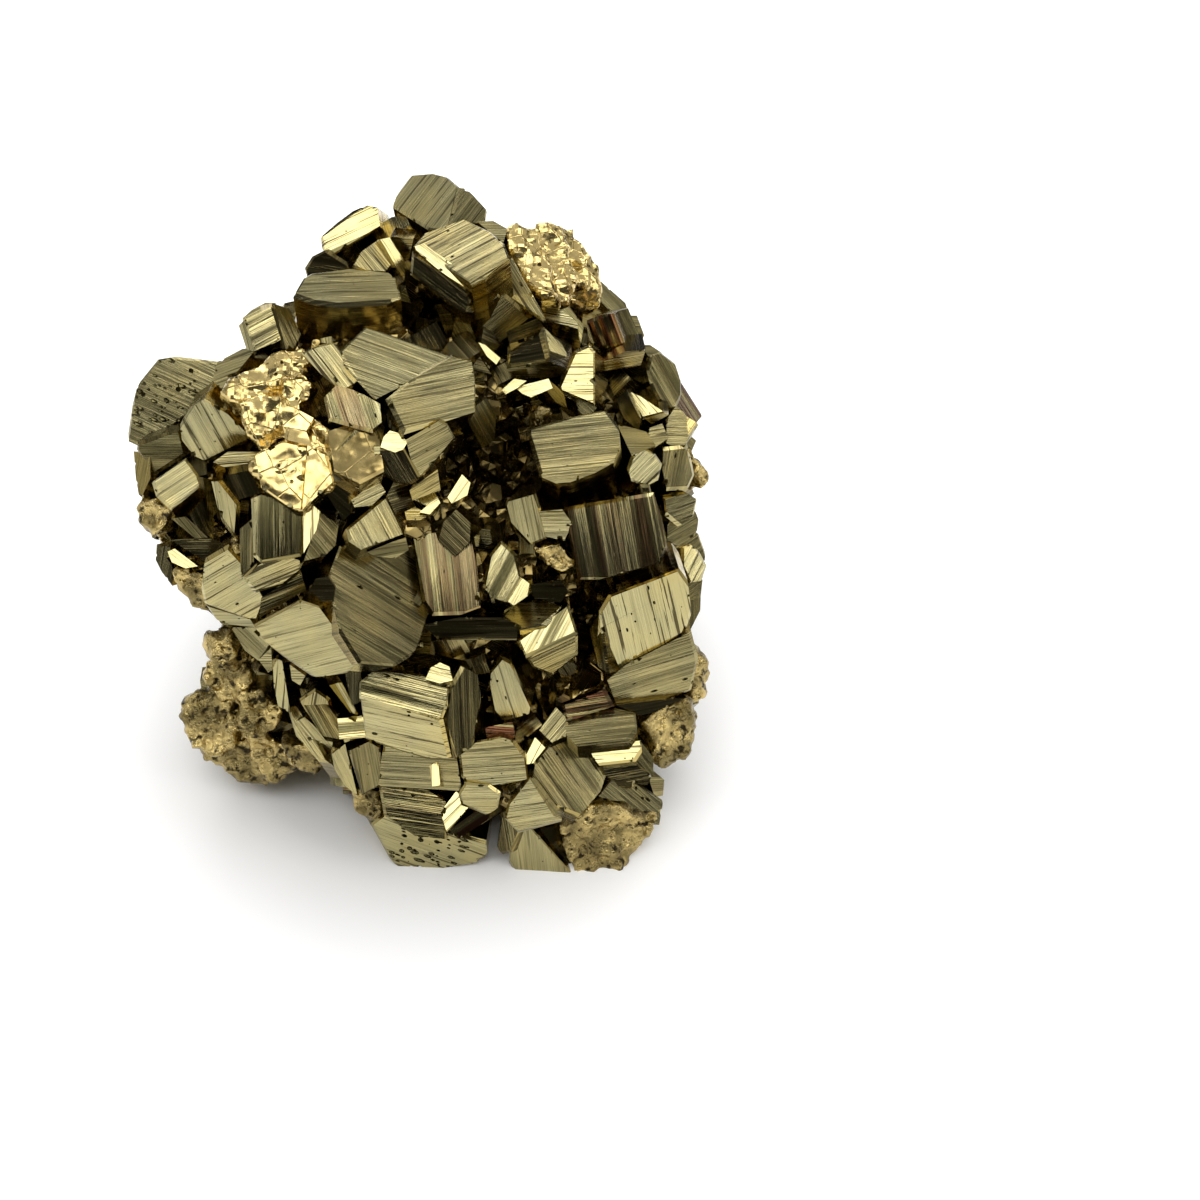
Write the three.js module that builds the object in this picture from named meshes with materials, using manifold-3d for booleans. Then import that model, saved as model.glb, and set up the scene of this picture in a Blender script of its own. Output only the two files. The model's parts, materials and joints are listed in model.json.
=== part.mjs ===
// A pyrite specimen: one cluster of striated crystals that grew together on a lumpy base.
// Millimetres, +Z up. The origin is under the middle of the cluster, on the surface it rests on.
import * as THREE from "three";
import { mergeVertices } from "three/addons/utils/BufferGeometryUtils.js";
import Module from "manifold-3d";

// Driving dimensions
const bodyWidth = 40;
const bodyHeight = 40;
const sink = 1.4;
const faceOverlap = 1.04;
const plainness = 0.4;
const lumpyTop = { scale: 0.6, rise: 0.5, shoulder: 0.7 };
const rockUnevenness = 0.08;
const backCrystals = { small: 2.3, large: 4.8, deep: 4.0, below: 0.1 };
const sideCrystals = { small: 1.8, large: 3.4, deep: 3.0, below: 0.9 };
const grownCount = 92;
const grownTilt = 1.1;
const grownWidth = { least: 0.6, spread: 0.4 };
const grownCorner = { least: 0.25, spread: 0.35 };
const grownSink = 0.3;

// Moves the middle of the cluster's box over the origin
const toMiddle = [-0.25, 0.57, 0];

// The crystals that show from the front are outlined as seen from this eye point, in a square
// frame of 1200 by 1200 whose focal length is given in the frame's own units.
const eye = new THREE.Vector3(12.7, -97.9, 96.3);
const aim = new THREE.Vector3(12.7, 12.2, 0);
const frameMiddle = 600;
const focalLength = 1722;

// Round lobes that the crystals stand on
const lobes = [
  { name: "middle", centre: [-0.5, 1.5, 19.0], radii: [19.2, 15.8, 17.2] },
  { name: "front base", centre: [3.5, -5.5, 6.0], radii: [15.5, 11.8, 9.0] },
  { name: "back base", centre: [-1.0, 6.0, 7.5], radii: [13.5, 10.5, 9.5] },
  { name: "lower left lump", centre: [-12.0, -4.0, 4.8], radii: [7.0, 7.0, 7.0] },
  { name: "summit", centre: [1.0, 7.0, 30.0], radii: [10.5, 9.0, 9.5] },
  { name: "upper left", centre: [-12.0, -0.5, 21.5], radii: [9.0, 10.5, 9.0] },
  { name: "upper right", centre: [10.5, 0.0, 24.0], radii: [9.8, 12.0, 9.5] },
  { name: "lower right", centre: [12.0, -6.0, 9.0], radii: [8.5, 10.0, 9.5] },
];

// The edge of the whole cluster in the view, which the crystals of the sides and back stay behind
const edge = "394,206 413,176 449,177 485,208 510,228 575,227 601,270 643,330 680,375 688,440 706,480 "
  + "700,552 700,610 708,680 701,715 690,755 663,790 640,842 600,888 567,887 510,868 500,842 470,865 "
  + "403,872 350,803 325,776 270,785 198,750 182,710 206,660 218,622 184,603 156,560 138,520 128,433 "
  + "157,361 218,358 245,345 246,313 290,305 311,256 320,237 345,213";

// Dark hollows between the crystals, along lines of sight
const hollows = [
  { name: "middle", at: [502, 462], radius: 3.6, depth: 6 },
  { name: "upper", at: [425, 316], radius: 2.4, depth: 4 },
  { name: "right slot", at: [586, 630], radius: 2.0, depth: 5 },
  { name: "under the largest block", at: [455, 630], radius: 1.9, depth: 3.5 },
  { name: "left ledge", at: [300, 640], radius: 1.6, depth: 3 },
];

// Faces of the crystals, each with the way it faces (turn to the right and tilt upwards from the
// line of sight, in degrees), how far it stands out from the lobes and how deep its crystal goes.
const crystals = [
  // crown
  { turn: -8, tilt: 42, out: 0.5,
    outline: "394,206 400,190 409,178 418,174 431,173 447,177 "
      + "459,187 452,222 440,229 427,227 420,217 408,211" },
  { turn: 22, tilt: 35, out: 0.2,
    outline: "459,187 466,188 487,211 485,222 466,219 450,224" },
  { turn: -15, tilt: 20, out: 0.3,
    outline: "321,237 337,222 352,211 366,206 376,208 379,227 329,257 322,247" },
  { turn: -20, tilt: -5, out: -0.8,
    outline: "305,268 312,257 326,250 345,262 350,272 325,272 308,278" },
  { turn: 5, tilt: 15, out: 0,
    outline: "362,252 379,240 396,258 390,268 386,273 368,272 354,266" },
  { turn: -6, tilt: 48, out: 2.0,
    outline: "415,245 424,234 441,228 466,219 487,229 503,243 508,257 484,275 471,281" },
  { turn: 10, tilt: -15, out: 0,
    outline: "472,300 500,290 532,318 500,345 483,340 478,318" },
  { turn: 0, tilt: -10, out: -0.3,
    outline: "507,332 538,318 543,328 512,350" },
  { turn: -5, tilt: -10, out: -2,
    outline: "455,322 470,325 478,345 473,352 455,350 452,338" },
  { turn: -4, tilt: 40, out: 1.8,
    outline: "295,295 305,278 315,272 345,268 385,272 395,280 399,297 385,302 340,305 315,302" },
  // gold top
  { turn: 5, tilt: 25, out: 0.3, lumpy: true,
    outline: "508,232 516,225 540,225 552,262 557,296 541,300 509,258" },
  { turn: -10, tilt: 25, out: 0.8,
    outline: "505,262 511,256 542,312 541,319 526,308 500,292" },
  { turn: 15, tilt: 35, out: 0, lumpy: true,
    outline: "545,228 575,226 587,250 566,262 552,256 543,240" },
  { turn: 20, tilt: 25, out: 0.6, lumpy: true,
    outline: "553,258 587,250 600,270 594,284 562,285 556,272" },
  { turn: 12, tilt: 15, out: 0.8, lumpy: true,
    outline: "558,286 596,282 600,305 582,312 565,303" },
  // right top
  { turn: -12, tilt: -6, out: 1.0,
    outline: "587,321 600,316 613,314 624,343 606,348 590,345" },
  { turn: 30, tilt: 5, out: 0.8,
    outline: "614,313 628,309 639,335 637,350 625,344" },
  { turn: -12, tilt: -4, out: 1.2,
    outline: "510,352 541,330 549,361 536,366 508,369" },
  { turn: 0, tilt: -35, out: 0.9,
    outline: "508,369 549,362 571,372 549,378 512,377" },
  { turn: -24, tilt: 8, out: 1.5,
    outline: "574,351 588,345 594,352 594,404 582,398 563,391 561,380 574,374" },
  { turn: 28, tilt: 18, out: 0,
    outline: "652,356 662,352 675,362 681,380 681,398 674,412 660,400 652,385 648,370" },
  { turn: 5, tilt: -25, out: 0.2,
    outline: "603,362 625,352 645,350 640,365 606,371" },
  // right side
  { turn: 32, tilt: 8, out: -0.2,
    outline: "667,420 676,407 686,415 688,438 684,448 667,443" },
  { turn: 10, tilt: 8, out: 1.0,
    outline: "632,456 645,448 655,453 662,463 658,479 646,485 632,480 628,468" },
  { turn: 10, tilt: 25, out: 0.6,
    outline: "618,425 632,428 646,432 655,445 645,449 632,455 626,440" },
  { turn: 22, tilt: -2, out: 0.4,
    outline: "664,448 681,446 691,455 695,474 688,489 668,490 663,470" },
  { turn: 22, tilt: -8, out: 0.3,
    outline: "664,496 683,491 697,500 694,515 679,526 667,516" },
  { turn: 28, tilt: -10, out: -0.2,
    outline: "668,525 695,512 698,520 696,535 680,545 668,540" },
  { turn: 20, tilt: -5, out: -2.4,
    outline: "680,548 690,545 700,552 707,565 700,580 686,575 681,560" },
  { turn: -4, tilt: 22, out: 2.2,
    outline: "532,428 560,420 600,411 608,414 617,426 619,445 612,462 "
      + "594,471 570,480 557,481 541,474 539,447 531,440" },
  { turn: -4, tilt: -16, out: 1.9,
    outline: "568,508 600,505 640,497 652,494 660,520 664,545 656,562 600,578 580,578 572,545" },
  { turn: 25, tilt: -10, out: 2.4,
    outline: "641,486 650,486 664,540 660,560 652,562" },
  { turn: 6, tilt: -27, out: 2.9,
    outline: "601,612 610,597 640,586 678,571 686,582 690,615 "
      + "684,632 660,648 640,655 626,664 609,673 599,648" },
  { turn: 8, tilt: -12, out: 1.2,
    outline: "608,681 626,666 660,649 690,633 697,660 690,690 660,701 617,705" },
  { turn: 35, tilt: -5, out: 0, lumpy: true,
    outline: "690,633 700,650 708,672 705,690 694,700 690,680" },
  // right foot
  { turn: -2, tilt: -6, out: 1.0,
    outline: "563,701 600,687 614,691 640,713 634,735 580,742 568,722" },
  { turn: 22, tilt: -10, out: 0.6, lumpy: true,
    outline: "642,722 660,706 690,701 701,716 698,735 688,752 662,764 651,745" },
  { turn: -4, tilt: 34, out: 1.3,
    outline: "590,748 640,741 641,752 635,761 600,765 594,757" },
  { turn: 0, tilt: -20, out: 0.4,
    outline: "602,766 636,762 650,778 646,785 612,779 606,775" },
  { turn: 8, tilt: 4, out: 2.0,
    outline: "555,738 568,733 590,748 605,775 600,790 578,815 560,808 535,775 537,760" },
  { turn: 22, tilt: -5, out: 1.2,
    outline: "603,790 613,779 640,784 662,800 658,824 620,822 590,806" },
  { turn: 12, tilt: -30, out: 3.9, lumpy: true,
    outline: "562,812 600,807 658,824 641,846 626,868 610,884 597,887 576,879 566,848" },
  { turn: -6, tilt: -36, out: 3.8,
    outline: "511,848 517,831 530,828 541,846 560,862 575,878 567,887 545,885 518,877 510,864" },
  { turn: 14, tilt: -12, out: 3.4,
    outline: "531,830 561,822 573,850 577,878 560,861 540,845" },
  { turn: -8, tilt: -12, out: 1.3,
    outline: "508,806 530,778 537,780 562,812 560,822 519,833 505,818" },
  { turn: -30, tilt: -20, out: 0.6,
    outline: "497,845 503,810 510,808 520,832 512,852 502,854" },
  // front foot
  { turn: -18, tilt: -30, out: 3.4,
    outline: "362,700 400,708 441,721 449,757 420,757 395,750 367,740" },
  { turn: 22, tilt: -12, out: 3.0,
    outline: "446,725 450,690 462,668 477,676 481,702 474,744 455,757" },
  { turn: -8, tilt: -18, out: 1.3,
    outline: "490,690 492,670 502,658 511,663 530,704 528,713 515,708 503,720 494,710" },
  { turn: -4, tilt: -10, out: 1.0,
    outline: "460,757 478,742 500,738 514,742 524,755 527,778 500,785 470,790 462,776" },
  { turn: -4, tilt: -28, out: 1.1,
    outline: "459,795 466,783 490,786 500,793 497,808 485,815 462,806" },
  { turn: -5, tilt: -10, out: 0.6,
    outline: "382,762 385,745 420,757 455,758 460,790 380,785" },
  { turn: -5, tilt: -2, out: 0.4,
    outline: "380,787 430,790 446,800 441,812 445,838 415,835 385,815" },
  { turn: -8, tilt: -36, out: 3.7,
    outline: "372,826 386,815 408,830 430,842 455,855 484,842 485,853 474,863 440,869 402,871 390,858" },
  { turn: -20, tilt: -15, out: 1.6,
    outline: "366,818 384,812 412,836 404,846 380,838 370,826" },
  { turn: -20, tilt: -20, out: 0.4, lumpy: true,
    outline: "350,800 358,790 380,790 382,808 370,820 358,815" },
  { turn: -25, tilt: -20, out: 0.3,
    outline: "332,755 345,745 350,770 357,795 345,785 335,770" },
  { turn: -5, tilt: -20, out: 0.4,
    outline: "349,752 370,742 380,748 380,785 362,795 355,770" },
  { turn: -10, tilt: -15, out: 0.1,
    outline: "300,700 315,690 330,700 335,735 325,738 308,715" },
  // lump
  { turn: -10, tilt: -15, out: -0.3,
    outline: "232,628 255,628 268,645 258,660 245,650" },
  { turn: -15, tilt: -5, out: 0, lumpy: true,
    outline: "183,715 190,700 205,690 225,695 240,715 235,745 215,755 200,748 186,735" },
  { turn: -15, tilt: -35, out: 0, lumpy: true,
    outline: "203,750 215,740 245,745 262,760 265,783 245,780 225,772 207,762" },
  { turn: -20, tilt: 10, out: -0.5, lumpy: true,
    outline: "205,635 218,622 233,630 235,655 222,668 206,652" },
  { turn: -15, tilt: 5, out: 0.3, lumpy: true,
    outline: "205,660 225,662 240,680 238,700 215,695 203,682" },
  { turn: -5, tilt: -10, out: 0.5, lumpy: true,
    outline: "240,690 262,690 280,708 278,730 258,738 240,725" },
  { turn: -5, tilt: -30, out: 0.4, lumpy: true,
    outline: "240,735 262,735 285,745 290,768 275,783 262,780 248,760" },
  { turn: 0, tilt: -35, out: 0.2, lumpy: true,
    outline: "285,748 312,745 330,758 333,772 310,775 292,770" },
  { turn: -10, tilt: 0, out: 0.6, lumpy: true,
    outline: "225,655 245,660 255,680 240,690 228,680" },
  // left side
  { turn: -22, tilt: 8, out: 0.5,
    outline: "128,432 132,405 140,382 157,361 175,358 190,362 217,363 "
      + "215,385 195,400 178,420 160,435 145,447 130,440" },
  { turn: -5, tilt: 30, out: 0.2,
    outline: "218,362 243,349 253,352 240,368 222,388 213,380" },
  { turn: -8, tilt: -18, out: 1.0,
    outline: "181,425 190,410 205,400 222,410 248,436 240,445 208,461 195,455 183,440" },
  { turn: -20, tilt: -20, out: -0.6,
    outline: "138,443 160,435 180,430 186,455 170,462 155,475 150,460 137,450" },
  { turn: -12, tilt: 15, out: 0.8,
    outline: "152,482 185,458 203,483 171,509 156,495" },
  { turn: -40, tilt: 0, out: -0.6,
    outline: "134,452 150,455 150,478 140,500 136,478" },
  { turn: -35, tilt: -5, out: -0.6, lumpy: true,
    outline: "138,505 155,500 170,512 165,530 150,537 138,520" },
  { turn: -5, tilt: -10, out: 0.6,
    outline: "212,483 222,482 240,505 238,530 233,537 222,522 217,505" },
  { turn: -5, tilt: -2, out: -1,
    outline: "223,467 250,463 262,492 235,500" },
  { turn: -6, tilt: -12, out: 1.6,
    outline: "252,500 262,496 300,507 303,515 300,555 262,562 254,555" },
  { turn: -40, tilt: -10, out: 1.0,
    outline: "240,530 252,520 254,570 241,578" },
  { turn: 10, tilt: 10, out: 0.9,
    outline: "320,513 338,525 335,545 325,555 305,560 316,535" },
  { turn: -14, tilt: -26, out: 1.4,
    outline: "206,560 228,547 240,560 240,575 262,598 255,617 245,617 205,603 202,590" },
  { turn: -6, tilt: -8, out: 1.2,
    outline: "243,578 260,562 290,558 310,565 285,585 255,593" },
  { turn: -10, tilt: -20, out: 0.8,
    outline: "262,598 300,572 305,590 260,617" },
  { turn: -20, tilt: -30, out: 0.4, lumpy: true,
    outline: "172,572 185,567 205,575 203,600 215,615 190,605 180,590" },
  { turn: -5, tilt: -15, out: -0.6,
    outline: "172,540 210,538 225,545 205,560 190,552" },
  // gold left
  { turn: -5, tilt: 30, out: 0.9, lumpy: true,
    outline: "220,390 250,370 275,352 300,350 310,365 285,385 255,395 235,400" },
  { turn: -5, tilt: 12, out: 1.8, lumpy: true,
    outline: "283,378 300,370 315,382 308,400 290,405 280,395" },
  { turn: -8, tilt: 5, out: 1.5, lumpy: true,
    outline: "235,400 260,390 283,400 285,435 262,455 245,430" },
  { turn: -3, tilt: -5, out: 1.9, lumpy: true,
    outline: "252,462 270,455 300,452 330,455 335,475 325,492 308,508 295,507 270,485 255,470" },
  { turn: 0, tilt: 5, out: 1.6, lumpy: true,
    outline: "285,405 310,410 330,430 335,455 300,452 285,440" },
  { turn: 5, tilt: 12, out: 2.2,
    outline: "326,415 333,395 350,398 371,408 362,432 345,432" },
  { turn: 12, tilt: -2, out: 1.8,
    outline: "350,432 371,408 385,415 384,440 378,475 350,470 335,480 330,455 345,440" },
  { turn: 5, tilt: -10, out: 0.8,
    outline: "325,490 345,480 368,497 350,508 343,520" },
  { turn: 5, tilt: 5, out: 1.4,
    outline: "347,528 380,500 387,497 404,533 390,537 372,540 362,548 350,540" },
  // middle
  { turn: 30, tilt: 10, out: 0.8,
    outline: "330,580 342,548 362,546 412,555 437,585 425,610 420,637 410,655 395,664 360,661 342,632" },
  { turn: -30, tilt: -26, out: 4.0,
    outline: "255,626 300,602 318,608 338,645 357,661 345,672 325,675 310,676 298,668 272,648" },
  { turn: -5, tilt: 25, out: 1.9,
    outline: "342,350 365,328 400,338 440,352 455,357 420,372 395,385 375,398 358,378 345,365" },
  { turn: 10, tilt: 10, out: 2.6,
    outline: "400,388 425,370 452,355 470,360 474,385 474,410 440,420 405,432 395,405 388,398" },
  { turn: -10, tilt: 10, out: 1.6,
    outline: "302,352 318,345 332,342 345,355 357,378 350,388 343,392 320,372" },
  { turn: 10, tilt: -12, out: 1.8,
    outline: "407,440 440,421 447,425 455,440 440,458 420,478 412,460" },
  { turn: -5, tilt: -15, out: 1.6,
    outline: "376,450 395,453 405,450 420,478 412,484 395,483 378,470" },
  { turn: -8, tilt: 6, out: 0.6,
    outline: "245,321 272,307 283,330 280,340 255,350" },
  { turn: 28, tilt: 8, out: -0.8,
    outline: "273,304 290,310 303,337 296,350 284,348 281,328" },
  { turn: -18, tilt: -6, out: 1.0,
    outline: "484,590 497,548 505,545 515,562 505,590 497,600" },
  { turn: -15, tilt: -14, out: 0.6,
    outline: "507,503 535,495 541,512 546,538 528,545 514,530" },
  { turn: 12, tilt: -12, out: 0.9,
    outline: "540,512 562,510 572,524 564,540 546,536" },
  { turn: 0, tilt: -20, out: 0.5, lumpy: true,
    outline: "533,548 560,543 572,562 566,572 546,566" },
  { turn: -4, tilt: -8, out: -1.2,
    outline: "412,540 420,532 470,528 474,545 479,606 460,613 432,614 424,602 437,585 415,556" },
  { turn: 0, tilt: -10, out: -0.2,
    outline: "425,625 460,618 500,618 517,625 515,640 480,640 440,640" },
  { turn: -5, tilt: 35, out: -0.6,
    outline: "502,613 512,603 540,600 563,608 545,624 520,629 508,620" },
  { turn: 0, tilt: 8, out: 1.5,
    outline: "519,638 545,625 567,603 577,634 551,640 527,657" },
  { turn: 5, tilt: -22, out: 2.4,
    outline: "527,657 551,640 577,635 577,655 552,675 534,668" },
  { turn: -5, tilt: -5, out: 0.6,
    outline: "540,730 556,708 570,722 566,735 552,742" },
  { turn: 0, tilt: -10, out: -0.3,
    outline: "530,585 560,580 568,592 560,602 535,598" },
];

// Directions of the view
const sight = aim.clone().sub(eye).normalize();
const right = new THREE.Vector3(1, 0, 0);
const up = right.clone().cross(sight);

// The line of sight through a place in the frame
function sightLine([x, y]) {
  return sight.clone()
    .addScaledVector(right, (x - frameMiddle) / focalLength)
    .addScaledVector(up, (frameMiddle - y) / focalLength)
    .normalize();
}

// Distances along a line at which it enters and leaves a lobe, or null where it misses
function crossLobe(lobe, start, direction) {
  const radii = new THREE.Vector3(...lobe.radii);
  const from = start.clone().sub(new THREE.Vector3(...lobe.centre)).divide(radii);
  const along = direction.clone().divide(radii);
  const a = along.lengthSq();
  const b = from.dot(along);
  const c = from.lengthSq() - 1;
  const inside = b * b - a * c;
  if (inside < 0) {
    return null;
  }
  const root = Math.sqrt(inside);
  return [(-b - root) / a, (-b + root) / a];
}

// Nearest entry from outside; a line that misses takes the place where it passes closest
function distanceToLobes(start, direction) {
  let nearest = Infinity;
  let closest = { miss: Infinity, distance: 0 };
  for (const lobe of lobes) {
    const crossing = crossLobe(lobe, start, direction);
    if (crossing) {
      nearest = Math.min(nearest, crossing[0]);
      continue;
    }
    const centre = new THREE.Vector3(...lobe.centre);
    const distance = centre.clone().sub(start).dot(direction);
    const point = start.clone().addScaledVector(direction, distance);
    const miss = point.sub(centre).divide(new THREE.Vector3(...lobe.radii)).length();
    if (miss < closest.miss) {
      closest = { miss, distance };
    }
  }
  return nearest === Infinity ? closest.distance : nearest;
}

// A closed solid through rings of points that all have the same count
function solidFromRings(rings) {
  const count = rings[0].length;
  const positions = rings.flat().flatMap((point) => point.toArray());
  const index = [];
  for (let i = 1; i < count - 1; i += 1) {
    index.push(0, i, i + 1);
    const last = (rings.length - 1) * count;
    index.push(last, last + i + 1, last + i);
  }
  for (let ring = 0; ring < rings.length - 1; ring += 1) {
    for (let i = 0; i < count; i += 1) {
      const a = ring * count + i;
      const b = ring * count + ((i + 1) % count);
      index.push(a, a + count, b);
      index.push(b, a + count, b + count);
    }
  }
  const geometry = new THREE.BufferGeometry();
  geometry.setAttribute("position", new THREE.Float32BufferAttribute(positions, 3));
  geometry.setIndex(index);
  return geometry;
}

// The convex outline of points on a plane, anticlockwise
function convexOutline(points) {
  const sorted = [...points].sort((p, q) => p[0] - q[0] || p[1] - q[1]);
  const turn = (o, p, q) => (p[0] - o[0]) * (q[1] - o[1]) - (p[1] - o[1]) * (q[0] - o[0]);
  const half = (list) => {
    const chain = [];
    for (const point of list) {
      while (chain.length > 1 && turn(chain.at(-2), chain.at(-1), point) <= 0) {
        chain.pop();
      }
      chain.push(point);
    }
    chain.pop();
    return chain;
  };
  return [...half(sorted), ...half(sorted.reverse())];
}

// An outline without the corners that lie close to the line between their neighbours
function plainOutline(points) {
  const kept = [...points];
  const bulge = (i) => {
    const [a, b, c] = [-1, 0, 1].map((step) => kept[(i + step + kept.length) % kept.length]);
    const base = Math.hypot(c[0] - a[0], c[1] - a[1]);
    return Math.abs((c[0] - a[0]) * (b[1] - a[1]) - (c[1] - a[1]) * (b[0] - a[0])) / base;
  };
  while (kept.length > 4) {
    const bulges = kept.map((_, i) => bulge(i));
    const least = bulges.indexOf(Math.min(...bulges));
    if (bulges[least] > plainness) {
      break;
    }
    kept.splice(least, 1);
  }
  return kept;
}

// A crystal: a flat face of the given outline on its plane, and a body that goes back from it.
// A lumpy one has a small face and rounded shoulders.
function crystalSolid({ origin, across, over, facing, inward, outline, deep, lumpy }) {
  const flat = plainOutline(convexOutline(outline));
  const middle = flat.reduce((sum, p) => [sum[0] + p[0] / flat.length, sum[1] + p[1] / flat.length], [0, 0]);
  const ring = (scale, depth) => flat.map(([x, y]) => origin.clone()
    .addScaledVector(across, middle[0] + (x - middle[0]) * scale)
    .addScaledVector(over, middle[1] + (y - middle[1]) * scale)
    .addScaledVector(inward, depth));
  if (lumpy) {
    return solidFromRings([
      ring(lumpyTop.scale, -lumpyTop.rise),
      ring(faceOverlap, lumpyTop.shoulder),
      ring(1, deep),
    ]);
  }
  return solidFromRings([ring(faceOverlap, 0), ring(faceOverlap, deep)]);
}

// Two directions along a plane
const alignedEnough = 1e-6;
function planeAxes(facing) {
  const across = new THREE.Vector3(0, 0, 1).cross(facing);
  if (across.lengthSq() < alignedEnough) {
    across.set(1, 0, 0);
  }
  across.normalize();
  return { across, over: facing.clone().cross(across) };
}

// Faces that tilt this far up, in degrees, stand square on their crystals; the walls of the
// others lean towards the line of sight
const degrees = Math.PI / 180;
const steepTilt = 15;
const squareness = 0.75;
const cubeness = 0.66;
const rootDepth = 0.8;

// The area inside the convex outline of points
function outlineArea(outline) {
  const hull = convexOutline(outline);
  const twice = hull.reduce((sum, [x, y], i) => {
    const [nextX, nextY] = hull[(i + 1) % hull.length];
    return sum + x * nextY - nextX * y;
  }, 0);
  return Math.abs(twice) / 2;
}

// A crystal that is outlined in the view
function seenCrystal({ turn, tilt, out, lumpy, outline }) {
  const corners = outline.split(" ").map((pair) => pair.split(",").map(Number));
  const centre = [0, 1].map((k) => corners.reduce((sum, corner) => sum + corner[k], 0) / corners.length);
  const line = sightLine(centre);
  const origin = eye.clone().addScaledVector(line, distanceToLobes(eye, line) - out);
  const sideways = new THREE.Vector3().crossVectors(line, up).normalize();
  const facing = line.clone().negate()
    .applyAxisAngle(up, turn * degrees)
    .applyAxisAngle(sideways, -tilt * degrees);
  const { across, over } = planeAxes(facing);
  const flat = corners.map((corner) => {
    const ray = sightLine(corner);
    const reach = origin.clone().sub(eye).dot(facing) / ray.dot(facing);
    const offset = eye.clone().addScaledVector(ray, reach).sub(origin);
    return [offset.dot(across), offset.dot(over)];
  });
  const square = tilt >= steepTilt ? 1 : squareness;
  const inward = line.clone().multiplyScalar(1 - square).addScaledVector(facing, -square).normalize();
  const thickness = Math.max(cubeness * Math.sqrt(outlineArea(flat)), out + sink + rootDepth);
  return crystalSolid({ origin, across, over, facing, inward, outline: flat, deep: thickness, lumpy });
}

// Repeatable scatter, from 0 to 1
function scatter(index, salt) {
  const value = Math.sin(index * 12.9898 + salt * 78.233) * 43758.5453;
  return value - Math.floor(value);
}

// The outermost point of the lobes in a direction from their middle, and the way it faces
const heart = new THREE.Vector3(0, 0, 16);
function surfacePoint(direction) {
  let best = { distance: 0, lobe: lobes[0] };
  for (const lobe of lobes) {
    const crossing = crossLobe(lobe, heart, direction);
    if (crossing && crossing[1] > best.distance) {
      best = { distance: crossing[1], lobe };
    }
  }
  const point = heart.clone().addScaledVector(direction, best.distance);
  const radii = new THREE.Vector3(...best.lobe.radii);
  const facing = point.clone().sub(new THREE.Vector3(...best.lobe.centre))
    .divide(radii).divide(radii).normalize();
  return { point, facing };
}

// Whether a ball at a point stays inside the cluster's edge as the eye sees it
const edgeCorners = edge.split(" ").map((pair) => pair.split(",").map(Number));
const edgeRoom = 0.8;
function behindEdge(point, radius) {
  const toPoint = point.clone().sub(eye);
  const range = toPoint.dot(sight);
  const seen = [
    frameMiddle + focalLength * toPoint.dot(right) / range,
    frameMiddle - focalLength * toPoint.dot(up) / range,
  ];
  const reach = focalLength * radius / range;
  let inside = false;
  let clearance = Infinity;
  edgeCorners.forEach(([x, y], i) => {
    const [u, v] = edgeCorners[(i + 1) % edgeCorners.length];
    if ((y > seen[1]) !== (v > seen[1]) && seen[0] < x + (u - x) * (seen[1] - y) / (v - y)) {
      inside = !inside;
    }
    const along = ((seen[0] - x) * (u - x) + (seen[1] - y) * (v - y)) / ((u - x) ** 2 + (v - y) ** 2);
    const t = Math.min(1, Math.max(0, along));
    clearance = Math.min(clearance, Math.hypot(seen[0] - x - t * (u - x), seen[1] - y - t * (v - y)));
  });
  return inside && clearance > reach;
}

// A block with cut corners, placed by the scatter on the lobes and moved inwards in steps until
// it stays behind the edge
const inwardStep = 0.5;
const mostSteps = 8;
function grownCrystal(index, { small, large, deep, below }, direction) {
  const { point, facing: outward } = surfacePoint(direction);
  const jitter = (salt) => (scatter(index, salt) - 0.5) * grownTilt;
  const facing = outward.clone().add(new THREE.Vector3(jitter(1), jitter(2), jitter(3))).normalize();
  const size = small + (large - small) * scatter(index, 4) ** 2;
  const half = [size, size * (grownWidth.least + grownWidth.spread * scatter(index, 5))];
  const cut = grownCorner.least + grownCorner.spread * scatter(index, 6);
  const spin = scatter(index, 7) * Math.PI;
  const corners = [[1, 1], [-1, 1], [-1, -1], [1, -1]];
  const outline = corners.flatMap(([x, y], k) => {
    const trim = cut * (0.5 + scatter(index, 8 + k));
    const near = [[x, y * (1 - trim)], [x * (1 - trim), y]];
    return k % 2 === 0 ? near : [[x, y]];
  }).map(([x, y]) => [
    x * half[0] * Math.cos(spin) - y * half[1] * Math.sin(spin),
    x * half[0] * Math.sin(spin) + y * half[1] * Math.cos(spin),
  ]);
  const { across, over } = planeAxes(facing);
  const origin = point.clone().addScaledVector(outward, -below - grownSink * size * scatter(index, 13));
  for (let steps = 0; steps < mostSteps && !behindEdge(origin, size * edgeRoom); steps += 1) {
    origin.addScaledVector(outward, -inwardStep);
  }
  const inward = facing.clone().negate();
  return crystalSolid({ origin, across, over, facing, inward, outline, deep });
}

// Directions spread evenly over a ball
const goldenAngle = Math.PI * (3 - Math.sqrt(5));
function evenDirection(index, count) {
  const height = 1 - 2 * (index + 0.5) / count;
  const radius = Math.sqrt(1 - height * height);
  const angle = index * goldenAngle;
  return new THREE.Vector3(radius * Math.cos(angle), radius * Math.sin(angle), height);
}

// Corners closer than these, in millimetres, are one corner
const weldDistance = 1e-5;
const finestWeld = 1e-6;

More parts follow.
